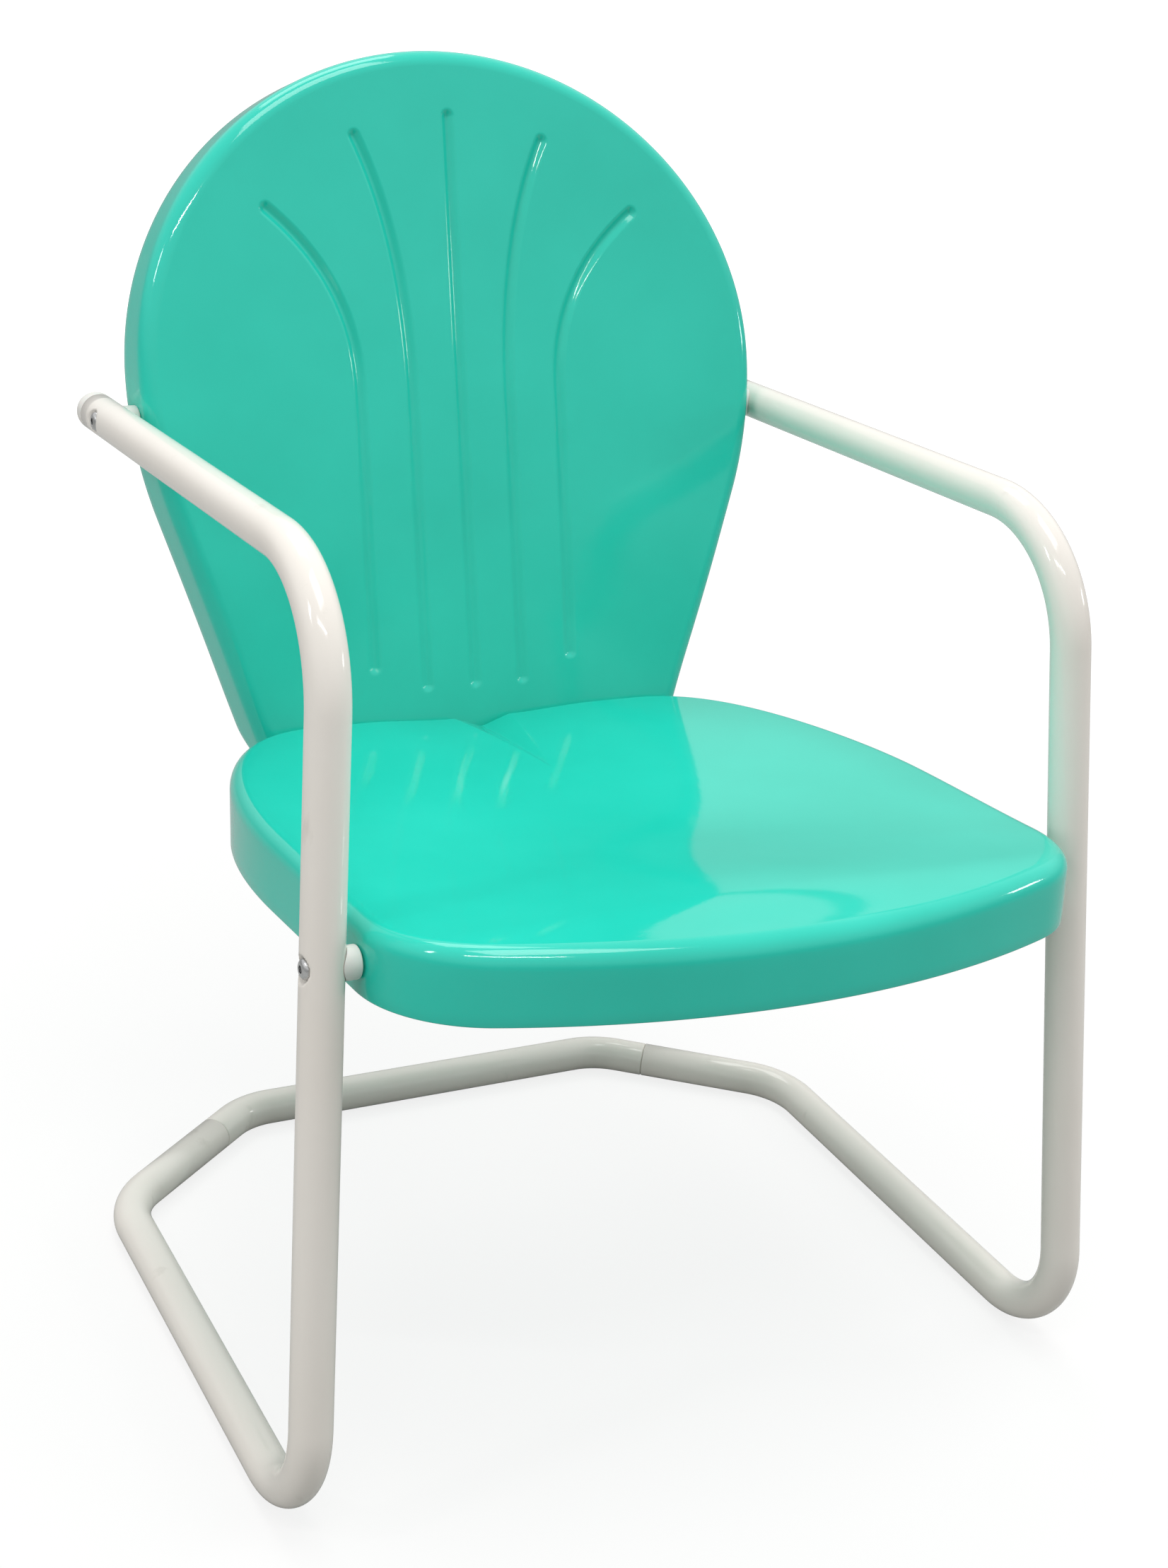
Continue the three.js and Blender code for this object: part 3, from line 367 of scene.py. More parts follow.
def press_cup(tree, group_in, geometry, cup):
    """Moves the points near the cup's axis in to its profile."""
    size = group_in.outputs
    position = tree.nodes.new("GeometryNodeInputPosition")
    offset = tree.nodes.new("ShaderNodeVectorMath")
    offset.operation = "SUBTRACT"
    parts = tree.nodes.new("ShaderNodeSeparateXYZ")
    outward = math_node(tree, "MULTIPLY", parts.outputs["X"], size["Hand"])
    squares = [math_node(tree, "POWER", parts.outputs[axis], 2.0) for axis in "YZ"]
    radial = math_node(tree, "SQRT", math_node(tree, "ADD", *squares))
    rim = math_node(tree, "MULTIPLY", size["Radius"], OVER_TUBE_SHARE)
    profile = add_range(tree, radial, size["Cup floor distance"], rim,
                        size["Cup floor radius"], size["Cup rim radius"], "SMOOTHSTEP")
    pressed = math_node(tree, "MINIMUM", outward, profile)
    inward = math_node(tree, "SUBTRACT", pressed, outward)
    move = tree.nodes.new("ShaderNodeCombineXYZ")
    setter = tree.nodes.new("GeometryNodeSetPosition")
    link_pairs(
        tree,
        (position.outputs["Position"], offset.inputs[0]),
        (size[cup], offset.inputs[1]),
        (offset.outputs["Vector"], parts.inputs["Vector"]),
        (math_node(tree, "MULTIPLY", inward, size["Hand"]), move.inputs["X"]),
        (geometry, setter.inputs["Geometry"]),
        (math_node(tree, "LESS_THAN", radial, CUP_REACH * MM), setter.inputs["Selection"]),
        (move.outputs["Vector"], setter.inputs["Offset"]))
    return setter.outputs["Geometry"]


tube_in = tube_tree.nodes.new("NodeGroupInput")
to_curve = tube_tree.nodes.new("GeometryNodeMeshToCurve")
ring = tube_tree.nodes.new("GeometryNodeCurvePrimitiveCircle")
swell = tube_tree.nodes.new("GeometryNodeInputNamedAttribute")
swell.data_type = "FLOAT"
swell.inputs["Name"].default_value = "swell"
sweep = tube_tree.nodes.new("GeometryNodeCurveToMesh")
smooth_shade = tube_tree.nodes.new("GeometryNodeSetShadeSmooth")
skin = sweep.outputs["Mesh"]
for cup in CUPS:
    skin = press_cup(tube_tree, tube_in, skin, cup)
link_pairs(
    tube_tree,
    (tube_in.outputs["Geometry"], to_curve.inputs["Mesh"]),
    (tube_in.outputs["Radius"], ring.inputs["Radius"]),
    (tube_in.outputs["Sides"], ring.inputs["Resolution"]),
    (to_curve.outputs["Curve"], sweep.inputs["Curve"]),
    (ring.outputs["Curve"], sweep.inputs["Profile Curve"]),
    (swell.outputs["Attribute"], sweep.inputs["Scale"]),
    (skin, smooth_shade.inputs["Geometry"]))
finish_tree(tube_tree, smooth_shade.outputs["Geometry"], tube_in)
print("tree", tube_tree.name, "with", len(tube_tree.nodes), "nodes")

# %% Make a tube
def new_object(name, verts, edges=(), faces=()):
    mesh = bpy.data.meshes.new(name)
    mesh.from_pydata([tuple(v) for v in verts], list(edges), list(faces))
    mesh.validate()
    piece = bpy.data.objects.new(name, mesh)
    bpy.context.scene.collection.objects.link(piece)
    return piece


def settle(piece):
    """Puts the evaluated shape in the piece's mesh and takes the modifiers off."""
    graph = bpy.context.evaluated_depsgraph_get()
    result = bpy.data.meshes.new_from_object(piece.evaluated_get(graph), depsgraph=graph)
    piece.modifiers.clear()
    piece.data = result
    result.name = piece.name
    return piece


def make_tube(name, points, swells, values):
    line = new_object(name, [to_world(p) for p in points],
                      [(i, i + 1) for i in range(len(points) - 1)])
    swell_data = line.data.attributes.new("swell", "FLOAT", "POINT")
    swell_data.data.foreach_set("value", swells)
    nodes = line.modifiers.new("bent tube", "NODES")
    nodes.node_group = tube_tree
    nodes[tube_sockets["Material"]] = tube_paint
    for label, value in values.items():
        nodes[tube_sockets[label]] = value
    wall = line.modifiers.new("wall", "SOLIDIFY")
    wall.thickness = TUBE_WALL * MM
    wall.offset = -1
    return settle(line)


def finish_piece(piece, slot, *nodes):
    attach(piece, "root")
    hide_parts(*nodes)
    print(piece.name, len(piece.data.polygons), "faces for", ", ".join(nodes))


# %% [markdown]
# ## The side frames
# Each side frame is one tube. It runs forward along the arm, bends down into the leaning front
# leg, bends back along the floor, and turns inwards at the rear. Rings lie close together only
# where the cups are pressed, which keeps the mesh light.

# %% Side frames
def frame_corners(hand):
    runner_rear = Vector((hand * FOOT_HALF, RUNNER_LENGTH, TUBE_RADIUS))
    bar_corner = Vector((hand * BAR_HALF, RUNNER_LENGTH + BAR_SETBACK, TUBE_RADIUS))
    stub_way = (bar_corner - runner_rear).normalized()
    stub_end = runner_rear + stub_way * STUB_LENGTH
    arm_end = arm_point(hand, ARM_REACH + ARM_TAIL)
    return [arm_end, arm_front(hand), foot(hand), runner_rear, stub_end], stub_way, bar_corner


for side, hand in HANDS:
    corners = frame_corners(hand)[0]
    seat_bolt = leg_point(hand, SEAT_BOLT_HEIGHT)
    back_bolt = arm_point(hand, ARM_REACH)
    line = bent_line(corners, [ARM_BEND, FOOT_BEND, RUNNER_BEND])
    line = with_fine_rings(with_fine_rings(line, seat_bolt), back_bolt)
    tube = make_tube(side + "_frame_tube", line, [1.0] * len(line), {
        "Hand": float(hand),
        CUPS[0]: tuple(to_world(seat_bolt)),
        CUPS[1]: tuple(to_world(back_bolt)),
    })
    finish_piece(tube, "tube_paint", side + "_side_frame")

# %% [markdown]
# ## The floor bar
# The bar closes the base behind the chair. Its ends are squeezed smaller, or swaged, so that
# they push into the side tubes. The same tree makes it: a number called swell on each point of
# the path scales the section, and falls within a few millimetres at each shoulder.

# %% Floor bar
SWAGE_LENGTH = 34
SWAGE_SHARE = (TUBE_RADIUS - TUBE_WALL - CLEARANCE) / TUBE_RADIUS
SWAGE_TIP, TIP_SHARE = 1.5, 0.97
SHOULDER = [(0, SWAGE_SHARE), (0.25, 0.95), (0.7, 0.985), (1.5, 1.0)]


def bar_end(hand):
    corners, stub_way, bar_corner = frame_corners(hand)
    shoulder = corners[-1] + stub_way * CLEARANCE
    rings = [(shoulder - stub_way * SWAGE_LENGTH, SWAGE_SHARE * TIP_SHARE),
             (shoulder - stub_way * (SWAGE_LENGTH - SWAGE_TIP), SWAGE_SHARE)]
    rings += [(shoulder + stub_way * along, share) for along, share in SHOULDER]
    return rings, bar_corner


left_rings, left_corner = bar_end(-1)
right_rings, right_corner = bar_end(1)
middle = bent_line([left_rings[-1][0], left_corner, right_corner, right_rings[-1][0]],
                   [BAR_BEND, BAR_BEND])[1:-1]
bar_rings = left_rings + [(point, 1.0) for point in middle] + right_rings[::-1]
bar = make_tube("floor_tube", [p for p, s in bar_rings], [s for p, s in bar_rings], {})
finish_piece(bar, "tube_paint", "floor_bar")

# %% [markdown]
# ## Places of the seat and the back
# The seat hangs between the front legs at a tilt read from the photograph, and its rear flange
# is bolted to the back. The back leans by the angle that brings its side bolts to the ends of
# the arms, and that angle is worked out here in the same way as in the model's source.

# %% Seat and back places
SHEET = 1.5
SEAT_TILT = math.radians(5.9)
SEAT_DEPTH = 509
SEAT_BOLT_TO_FRONT, SEAT_BOLT_DROP = 116.5, 30.9
SEAT_SPACER, BACK_SPACER = 8.4, 5.4
SEAT_STACK = TUBE_RADIUS + SEAT_SPACER + 2 * CLEARANCE
BACK_STACK = TUBE_RADIUS + BACK_SPACER + 2 * CLEARANCE
BACK_FLANGE, BACK_BOWL, BACK_BOLT_INSET = 48, 15, 20.6

seat_bolt = leg_point(1, SEAT_BOLT_HEIGHT)
back_bolt = arm_point(1, ARM_REACH)
SEAT_HALF = seat_bolt.x - SEAT_STACK
seat_turn = Matrix.Rotation(-SEAT_TILT, 3, "X")
bolt_in_seat = Vector((0, SEAT_BOLT_TO_FRONT - SEAT_DEPTH, -SEAT_BOLT_DROP))
seat_origin = Vector((0, seat_bolt.y, seat_bolt.z)) - seat_turn @ bolt_in_seat
to_back_bolt = Vector((0, back_bolt.y, back_bolt.z)) - seat_origin
bolt_depth = BACK_FLANGE - BACK_BOWL - BACK_BOLT_INSET
RECLINE = math.atan2(to_back_bolt.y, to_back_bolt.z) - math.asin(
    (bolt_depth + CLEARANCE) / to_back_bolt.length)
back_turn = Matrix.Rotation(-RECLINE, 3, "X")
back_origin = seat_origin + back_turn @ Vector((0, CLEARANCE, 0))
back_bolt_rise = (Vector((0, back_bolt.y, back_bolt.z)) - back_origin).dot(
    back_turn @ Vector((0, 0, 1)))
print("seat half width", round(SEAT_HALF, 1), "recline", round(math.degrees(RECLINE), 2))

# %% [markdown]
# ## Pressed sheet
# A press draws the sheet into a pan: a dished face, a rolled rim, a flange that turns down, and
# a hem folded inside its free edge. The face is a height over a flat outline, so any relief can
# be a formula. A Delaunay triangulation joins a coarse grid to close rows of points along each
# groove and fold. The rim is a stack of rings around the outline, and a second skin inside
# gives the sheet its thickness. Normals of the face come from the slope of the formula, so the
# gloss runs over it without a ripple from the triangles.

# %% Outline helpers
RIM_RADIUS, HIDDEN_RIM_RADIUS = 13, 9
HEM_HEIGHT, HEM_EDGE, HEM_STAND_OFF = 6.5, 0.4, 0.15
RIM_STEPS, HEM_STEPS, FLANGE_STEPS = 9, 6, 5
LOOP_SPACING, LEAST_GAP = 4.0, 0.01
ARC_POINTS, CURVE_POINTS = 24, 40


def smoothstep(value, start, end):
    share = np.clip((value - start) / (end - start), 0, 1)
    return share * share * (3 - 2 * share)


def arc(centre, radius, start, end, count=ARC_POINTS):
    angles = np.linspace(start, end, count)
    return np.stack([centre[0] + radius * np.cos(angles),
                     centre[1] + radius * np.sin(angles)], axis=1)


def even_loop(half):
    """Mirrors half an outline and spreads points evenly round the whole."""
    left = half[::-1] * np.array([-1, 1])
    loop = np.concatenate([half, left])
    gaps = np.linalg.norm(np.roll(loop, -1, axis=0) - loop, axis=1)
    loop = loop[gaps > LEAST_GAP]
    closed = np.concatenate([loop, loop[:1]])
    lengths = np.concatenate([[0], np.cumsum(np.linalg.norm(np.diff(closed, axis=0), axis=1))])
    count = int(round(lengths[-1] / LOOP_SPACING / 2)) * 2
    places = np.linspace(0, lengths[-1], count, endpoint=False)
    return np.stack([np.interp(places, lengths, closed[:, k]) for k in (0, 1)], axis=1)


def outward_normals(loop):
    way = np.roll(loop, -1, axis=0) - np.roll(loop, 1, axis=0)
    way /= np.linalg.norm(way, axis=1)[:, None]
    return np.stack([way[:, 1], -way[:, 0]], axis=1)


def inside(points, loop):
    """Counts how often a line from each point crosses the loop."""
    result = np.zeros(len(points), bool)
    x, y = points[:, 0], points[:, 1]
    for (ax, ay), (bx, by) in zip(loop, np.roll(loop, -1, axis=0)):
        spans = (ay > y) != (by > y)
        if spans.any():
            crossing = ax + (y - ay) * (bx - ax) / (by - ay if by != ay else 1)
            result ^= spans & (x < crossing)
    return result


# %% Face triangles
GRID_SPACING, GRID_MARGIN = 7.0, 4.0
ROW_SHARE, CLEAR_SHARE = 0.866, 0.45
FINE_MARGIN, FINE_GAP, JOIN_GAP = 1.5, 0.7, 0.0001


def grid_points(loop, fine):
    """A coarse grid inside the loop, with the fine points in place of the grid near them."""
    low, high = loop.min(axis=0), loop.max(axis=0)
    normals = outward_normals(loop)
    rows = []
    for i, y in enumerate(np.arange(low[1], high[1], GRID_SPACING * ROW_SHARE)):
        xs = np.arange(low[0] + (i % 2) * GRID_SPACING / 2, high[0], GRID_SPACING)
        rows.append(np.stack([xs, np.full(len(xs), y)], axis=1))
    grid = np.concatenate(rows)
    grid = grid[inside(grid, loop - normals * GRID_MARGIN)]
    fine = fine[inside(fine, loop - normals * FINE_MARGIN)]
    tree = kdtree.KDTree(len(fine))
    for i, point in enumerate(fine):
        tree.insert((*point, 0), i)
    tree.balance()
    far = [tree.find((*point, 0))[2] > GRID_SPACING * CLEAR_SHARE for point in grid]
    kept = {}
    for point in fine:
        kept.setdefault((round(point[0] / FINE_GAP), round(point[1] / FINE_GAP)), point)
    return np.concatenate([grid[far], np.array(list(kept.values()))])


def triangulate(loop, points):
    """Faces over the loop and the points, with the number that each loop point has there."""
    coords = [Vector(p) for p in np.concatenate([loop, points])]
    verts, edges, faces, origins, _, _ = delaunay_2d_cdt(
        coords, [], [list(range(len(loop)))], 1, JOIN_GAP)
    ids = np.full(len(loop), -1)
    for i, source in enumerate(origins):
        for original in source:
            if original < len(loop):
                ids[original] = i
    return np.array([tuple(v) for v in verts]), [list(face) for face in faces], ids


# %% Pressed shell
SLOPE_STEP, ROW_SPACING = 0.05, 3.5


def rim_radius(facing, start):
    """The rim rolls tighter on the side that turns to the other shell."""
    return RIM_RADIUS + (HIDDEN_RIM_RADIUS - RIM_RADIUS) * smoothstep(facing, start, 1)


def slope_of(height, points):
    """The slope of the face across and along, from its height a little to each side."""
    x, y = points[:, 0], points[:, 1]
    run = 2 * SLOPE_STEP
    return np.stack([(height(x + SLOPE_STEP, y) - height(x - SLOPE_STEP, y)) / run,
                     (height(x, y + SLOPE_STEP) - height(x, y - SLOPE_STEP)) / run], axis=1)


def rim_profile(radius, lean, z_start, z_edge):
    """Offsets from the outline, and heights, of the rings from the face to the inner face."""
    centre_z = z_start - radius * np.cos(lean)
    foot_z = z_edge + SHEET
    top = z_edge + HEM_HEIGHT

    def roll(size, order):
        angles = [(np.pi / 2 + lean) * (1 - k / RIM_STEPS) for k in order]
        return [(size * np.cos(a) - radius, centre_z + size * np.sin(a)) for a in angles]

    turns = [-np.pi * k / HEM_STEPS for k in range(1, HEM_STEPS + 1)]
    shares = [k / FLANGE_STEPS for k in range(1, FLANGE_STEPS + 1)]
    flange = [(0, centre_z + (foot_z - centre_z) * share) for share in shares]
    flange += [(SHEET * np.cos(a) - SHEET, foot_z + SHEET * np.sin(a)) for a in turns]
    flange += [
        (-2 * SHEET, top - HEM_EDGE),
        (HEM_EDGE - 2 * SHEET, top),
        (-SHEET - HEM_STAND_OFF, top),
        (-SHEET, top + HEM_STAND_OFF),
        (-SHEET, (top + centre_z) / 2),
    ]
    rings = roll(radius, range(1, RIM_STEPS + 1)) + flange
    rings += roll(radius - SHEET, range(RIM_STEPS, 0, -1))
    return [(np.broadcast_to(offset, radius.shape), z) for offset, z in rings]


def pressed_shell(name, loop, height, rim_at, edge_height, bend, fine, place):
    """Joins the face, the rings of rim and flange, and the inner skin into one closed sheet."""
    normals = outward_normals(loop)
    rim = rim_at(normals)
    start = loop - normals * rim[:, None]
    flat, faces, ids = triangulate(start, grid_points(start, fine))
    slope = slope_of(height, flat)
    up = np.concatenate([-slope, np.ones((len(flat), 1))], axis=1)
    up /= np.linalg.norm(up, axis=1)[:, None]
    outer = np.concatenate([flat, height(flat[:, 0], flat[:, 1])[:, None]], axis=1)
    inner = outer - up * SHEET
    lean = np.arctan((slope[ids] * normals).sum(axis=1))
    radius = rim / (1 + np.sin(lean))
    rings = []
    for offset, z in rim_profile(radius, lean, outer[ids, 2], edge_height(loop)):
        flat_ring = loop + normals * offset[:, None]
        rings.append(bend(np.concatenate([flat_ring, z[:, None]], axis=1), normals))
    count = len(loop)
    verts = np.concatenate([outer, inner] + rings)
    quads = []
    chain = [ids] + [2 * len(flat) + k * count + np.arange(count) for k in range(len(rings))]
    chain.append(len(flat) + ids)
    for a, b in zip(chain, chain[1:]):
        a_next, b_next = np.roll(a, -1), np.roll(b, -1)
        quads += np.stack([a, b, b_next, a_next], axis=1).tolist()
    inner_faces = [[len(flat) + i for i in reversed(face)] for face in faces]
    shell = new_object(name, [place(Vector(v)) for v in verts], (), faces + inner_faces + quads)
    turn_up = [place(Vector(v), only_turn=True) for v in up]
    turn_down = [-v for v in turn_up]
    rest = [Vector((0, 0, 0))] * (len(verts) - 2 * len(flat))
    shell.data.polygons.foreach_set("use_smooth", [True] * len(shell.data.polygons))
    shell.data.normals_split_custom_set_from_vertices(turn_up + turn_down + rest)
    shell.data.materials.append(shell_paint)
    return shell


def line_points(points, offsets):
    """Rows of points beside a line, at the given distances from it."""
    gaps = np.linalg.norm(np.diff(points, axis=0), axis=1)
    lengths = np.concatenate([[0], np.cumsum(gaps)])
    places = np.linspace(0, lengths[-1], max(int(lengths[-1] / ROW_SPACING), 2))
    middle = np.stack([np.interp(places, lengths, points[:, k]) for k in (0, 1)], axis=1)
    way = np.gradient(middle, axis=0)
    way /= np.linalg.norm(way, axis=1)[:, None]
    side = np.stack([-way[:, 1], way[:, 0]], axis=1)
    return np.concatenate([middle + side * offset for offset in offsets])


# %% [markdown]
# ## The seat pan
# The seat is dished in the middle and rises again before its front edge. At the rear a fold
# runs forward from a notch: two flat facets that meet in a line and fade out. Its formula takes
# the larger of nothing and a V, with the corners softened as the press would leave them.

# %% Seat outline and face
SEAT_FLANGE = 53
SEAT_FRONT_RADIUS, SEAT_FRONT_CORNER = 570, 88
SEAT_REAR_HALF, SEAT_CORNER = 139, 240
SEAT_SIDE_PULL, SEAT_REAR_PULL = 117, 88
SEAT_DISH, SEAT_SADDLE = 15, 4
SEAT_DIP, SEAT_DIP_HALF = 3.5, 100
SEAT_FRONT_FALL, FALL_START_SHARE = 5, 0.86
SADDLE_START_SHARE, SADDLE_TOP_SHARE = 0.45, 0.8
FOLD_HALF, FOLD_DEPTH, FOLD_LENGTH = 25, 9, 140
FOLD_SOFT_SHARE, DIP_SOFT_SHARE = 0.04, 0.05


def cubic(p0, p1, p2, p3):
    t = np.linspace(0, 1, CURVE_POINTS)[:, None]
    return (p0 * (1 - t) ** 3 + 3 * p1 * t * (1 - t) ** 2
            + 3 * p2 * t ** 2 * (1 - t) + p3 * t ** 3)


def seat_outline():
    front_centre = SEAT_FRONT_RADIUS - SEAT_DEPTH
    corner_x = SEAT_HALF - SEAT_FRONT_CORNER
    reach = SEAT_FRONT_RADIUS - SEAT_FRONT_CORNER
    corner_y = front_centre - math.sqrt(reach ** 2 - corner_x ** 2)
    angle = math.atan2(corner_y - front_centre, corner_x)
    side = np.array([SEAT_HALF, -SEAT_CORNER])
    rear = np.array([SEAT_REAR_HALF, 0.0])
    half = np.concatenate([
        arc((0, front_centre), SEAT_FRONT_RADIUS, -math.pi / 2, angle),
        arc((corner_x, corner_y), SEAT_FRONT_CORNER, angle, 0)[1:],
        cubic(side, side + [0, SEAT_SIDE_PULL], rear + [SEAT_REAR_PULL, 0], rear),
        np.array([[0.0, 0.0]]),
    ])
    return even_loop(half)


def soft_ramp(value, softness):
    return (value + np.sqrt(value ** 2 + softness ** 2)) / 2


def seat_height(x, y):
    across = x / SEAT_HALF
    along = -y / SEAT_DEPTH
    bowl = (1 - across ** 2) * np.sin(np.pi * np.clip(along, 0, 1)) ** 2
    front = smoothstep(along, SADDLE_START_SHARE, SADDLE_TOP_SHARE)
    front *= 1 - smoothstep(along, SADDLE_TOP_SHARE, 1)
    saddle = SEAT_SADDLE * front * np.cos(np.pi * np.clip(across, -1, 1))
    fold_share = 1 + y / FOLD_LENGTH
    sides = np.sqrt(x ** 2 + 1.0) / FOLD_HALF
    fold = FOLD_DEPTH * soft_ramp(fold_share - sides, FOLD_SOFT_SHARE)
    dip_share = soft_ramp(fold_share, DIP_SOFT_SHARE)
    dip = SEAT_DIP * (1 - smoothstep(np.abs(x), FOLD_HALF, SEAT_DIP_HALF)) * dip_share
    fall = SEAT_FRONT_FALL * smoothstep(along, FALL_START_SHARE, 1)
    return saddle - SEAT_DISH * bowl - fall - fold - dip


# %% Seat pan
FLANGE_LEAN = math.tan(RECLINE - SEAT_TILT)


def seat_place(point, only_turn=False):
    turned = seat_turn @ point
    return turned if only_turn else to_world(turned + seat_origin)


def lean_rear_flange(points, normals):
    share = smoothstep(normals[:, 1], 0, 1)
    points[:, 1] += points[:, 2] * FLANGE_LEAN * share
    return points


ROW_END, TIP_HALF = 8.0, 0.5
fold_rows = []
for sign in (-1, 1):
    edge = np.array([[sign * FOLD_HALF, -ROW_END], [sign * TIP_HALF, -FOLD_LENGTH]])
    fold_rows.append(line_points(edge, (-3, -1.5, 0, 1.5, 3)))
ridge = np.array([[0.0, -ROW_END], [0.0, -FOLD_LENGTH - ROW_END]])
fold_rows.append(line_points(ridge, (-2, -1, 0, 1, 2)))
seat = pressed_shell(
    "seat_pressing", seat_outline(), seat_height,
    lambda normals: rim_radius(normals[:, 1], 0),
    lambda loop: np.full(len(loop), -float(SEAT_FLANGE)),
    lean_rear_flange, np.concatenate(fold_rows), seat_place)
finish_piece(seat, "shell_paint", "seat_pan")

# %% [markdown]
# ## The back
# The back is a rounded shield, flat at the foot and hollowed from side to side higher up. Five
# grooves are pressed into it. The outer ones flare outwards at the top like the ribs of a shell.
# A groove is a smooth trough around a line, so its depth needs only the distance to that line.

# %% Back outline and grooves
BACK_HEIGHT, BACK_WIDEST_HEIGHT = 511.7, 269.6
BACK_SIDE_RADIUS, BACK_TAPER = 330, math.radians(18.9)
BACK_SKIRT, BACK_CORNER, BACK_FOOT_FLANGE = 47, 26, 15
GROOVE_HALF, GROOVE_DEPTH = 6.4, 3.2
GROOVE_FOOT, CENTRE_TOP = 23, 461
FOOT_DEPTH_SHARE, KNEE_SHARE = 0.62, 0.6
DOME_POINTS = 60
INNER_GROOVE = (41.5, GROOVE_FOOT, 250, 444, 37.5)
OUTER_GROOVE = (85.5, 40, 255, 389, 69)


def back_half_at(height, widest):
    drop = BACK_WIDEST_HEIGHT - height
    bend_drop = BACK_SIDE_RADIUS * math.sin(BACK_TAPER)
    if drop <= 0:
        share = min(-drop / (BACK_HEIGHT - BACK_WIDEST_HEIGHT), 1)
        return widest * math.sqrt(1 - share * share)
    if drop <= bend_drop:
        return widest - BACK_SIDE_RADIUS + math.sqrt(BACK_SIDE_RADIUS ** 2 - drop ** 2)
    straight = (drop - bend_drop) * math.tan(BACK_TAPER)
    return widest - BACK_SIDE_RADIUS * (1 - math.cos(BACK_TAPER)) - straight


room = back_bolt.x - BACK_STACK
BACK_HALF = room + BACK_SIDE_RADIUS - back_half_at(back_bolt_rise, BACK_SIDE_RADIUS)


def back_outline():
    side_foot = BACK_WIDEST_HEIGHT - BACK_SIDE_RADIUS * math.sin(BACK_TAPER)
    tip_half = back_half_at(-BACK_SKIRT, BACK_HALF)
    corner_x = tip_half - BACK_CORNER * math.tan((math.pi / 2 - BACK_TAPER) / 2)
    angles = np.linspace(0, math.pi / 2, DOME_POINTS)
    dome = np.stack([BACK_HALF * np.cos(angles),
                     BACK_WIDEST_HEIGHT + (BACK_HEIGHT - BACK_WIDEST_HEIGHT) * np.sin(angles)],
                    axis=1)
    half = np.concatenate([
        np.array([[0.0, -BACK_SKIRT]]),
        arc((corner_x, BACK_CORNER - BACK_SKIRT), BACK_CORNER, -math.pi / 2, -BACK_TAPER),
        np.array([[back_half_at(side_foot, BACK_HALF), side_foot]]),
        arc((BACK_HALF - BACK_SIDE_RADIUS, BACK_WIDEST_HEIGHT), BACK_SIDE_RADIUS,
            -BACK_TAPER, 0)[1:],
        dome[1:],
    ])
    return even_loop(half)


def groove_line(hand, spacing, foot_y, bend_y, top_y, flare):
    t = np.linspace(0, 1, CURVE_POINTS)[:, None]
    knee = np.array([spacing, bend_y + (top_y - bend_y) * KNEE_SHARE])
    curve = (np.array([spacing, bend_y]) * (1 - t) ** 2 + 2 * knee * t * (1 - t)
             + np.array([spacing + flare, top_y]) * t ** 2)
    return np.concatenate([[[spacing, foot_y]], curve]) * np.array([hand, 1])


grooves = [np.array([[0.0, GROOVE_FOOT], [0.0, CENTRE_TOP]])]
for hand in (-1, 1):
    grooves += [groove_line(hand, *INNER_GROOVE), groove_line(hand, *OUTER_GROOVE)]
print(len(grooves), "grooves, back half width", round(BACK_HALF, 1))


# %% Back face
def bowl_height(x, y):
    flat_half = SEAT_REAR_HALF * (1 - smoothstep(y, 0, SEAT_REAR_HALF))
    across = np.maximum(np.abs(x) - flat_half, 0) / (BACK_HALF - flat_half)
    return BACK_BOWL * across ** 2


def groove_depth(x, y):
    depth = np.zeros(len(x))
    for line in grooves:
        best = np.full(len(x), np.inf)
        share = np.zeros(len(x))
        total = np.linalg.norm(np.diff(line, axis=0), axis=1).sum()
        walked = 0
        for a, b in zip(line, line[1:]):
            way = b - a
            length = np.linalg.norm(way)
            along = np.clip(((x - a[0]) * way[0] + (y - a[1]) * way[1]) / length ** 2, 0, 1)
            distance = np.hypot(x - a[0] - way[0] * along, y - a[1] - way[1] * along)
            nearer = distance < best
            best = np.where(nearer, distance, best)
            share = np.where(nearer, (walked + length * along) / total, share)
            walked += length
        size = FOOT_DEPTH_SHARE + (1 - FOOT_DEPTH_SHARE) * share
        trough = 0.5 + 0.5 * np.cos(np.pi * np.clip(best / GROOVE_HALF, 0, 1))
        depth += GROOVE_DEPTH * size * trough
    return depth


def back_height(x, y):
    return bowl_height(x, y) - groove_depth(x, y)


def back_edge(loop):
    depth = BACK_FLANGE + (BACK_FOOT_FLANGE - BACK_FLANGE) * smoothstep(-loop[:, 1], 0, BACK_SKIRT)
    return bowl_height(loop[:, 0], loop[:, 1]) - depth


def back_place(point, only_turn=False):
    turned = back_turn @ Vector((point.x, -point.z, point.y))
    return turned if only_turn else to_world(turned + back_origin)


ROWS_HALF, ROWS_ACROSS = 7.8, 14
END_RING_STEP, END_RING_REACH = 1.2, 8.5
offsets = np.linspace(-ROWS_HALF, ROWS_HALF, ROWS_ACROSS)
rows = [line_points(line, offsets) for line in grooves]
for line in grooves:
    for end, inner_point in ((line[0], line[1]), (line[-1], line[-2])):
        way = (end - inner_point) / np.linalg.norm(end - inner_point)
        base = math.atan2(way[1], way[0])
        for radius in np.arange(END_RING_STEP, END_RING_REACH, END_RING_STEP):
            rows.append(arc(end, radius, base - math.pi / 2, base + math.pi / 2,
                            max(int(radius * 2), 5)))
back = pressed_shell(
    "back_pressing", back_outline(), back_height,
    lambda normals: rim_radius(-normals[:, 1], math.sin(BACK_TAPER)), back_edge,
    lambda points, normals: points, np.concatenate(rows), back_place)
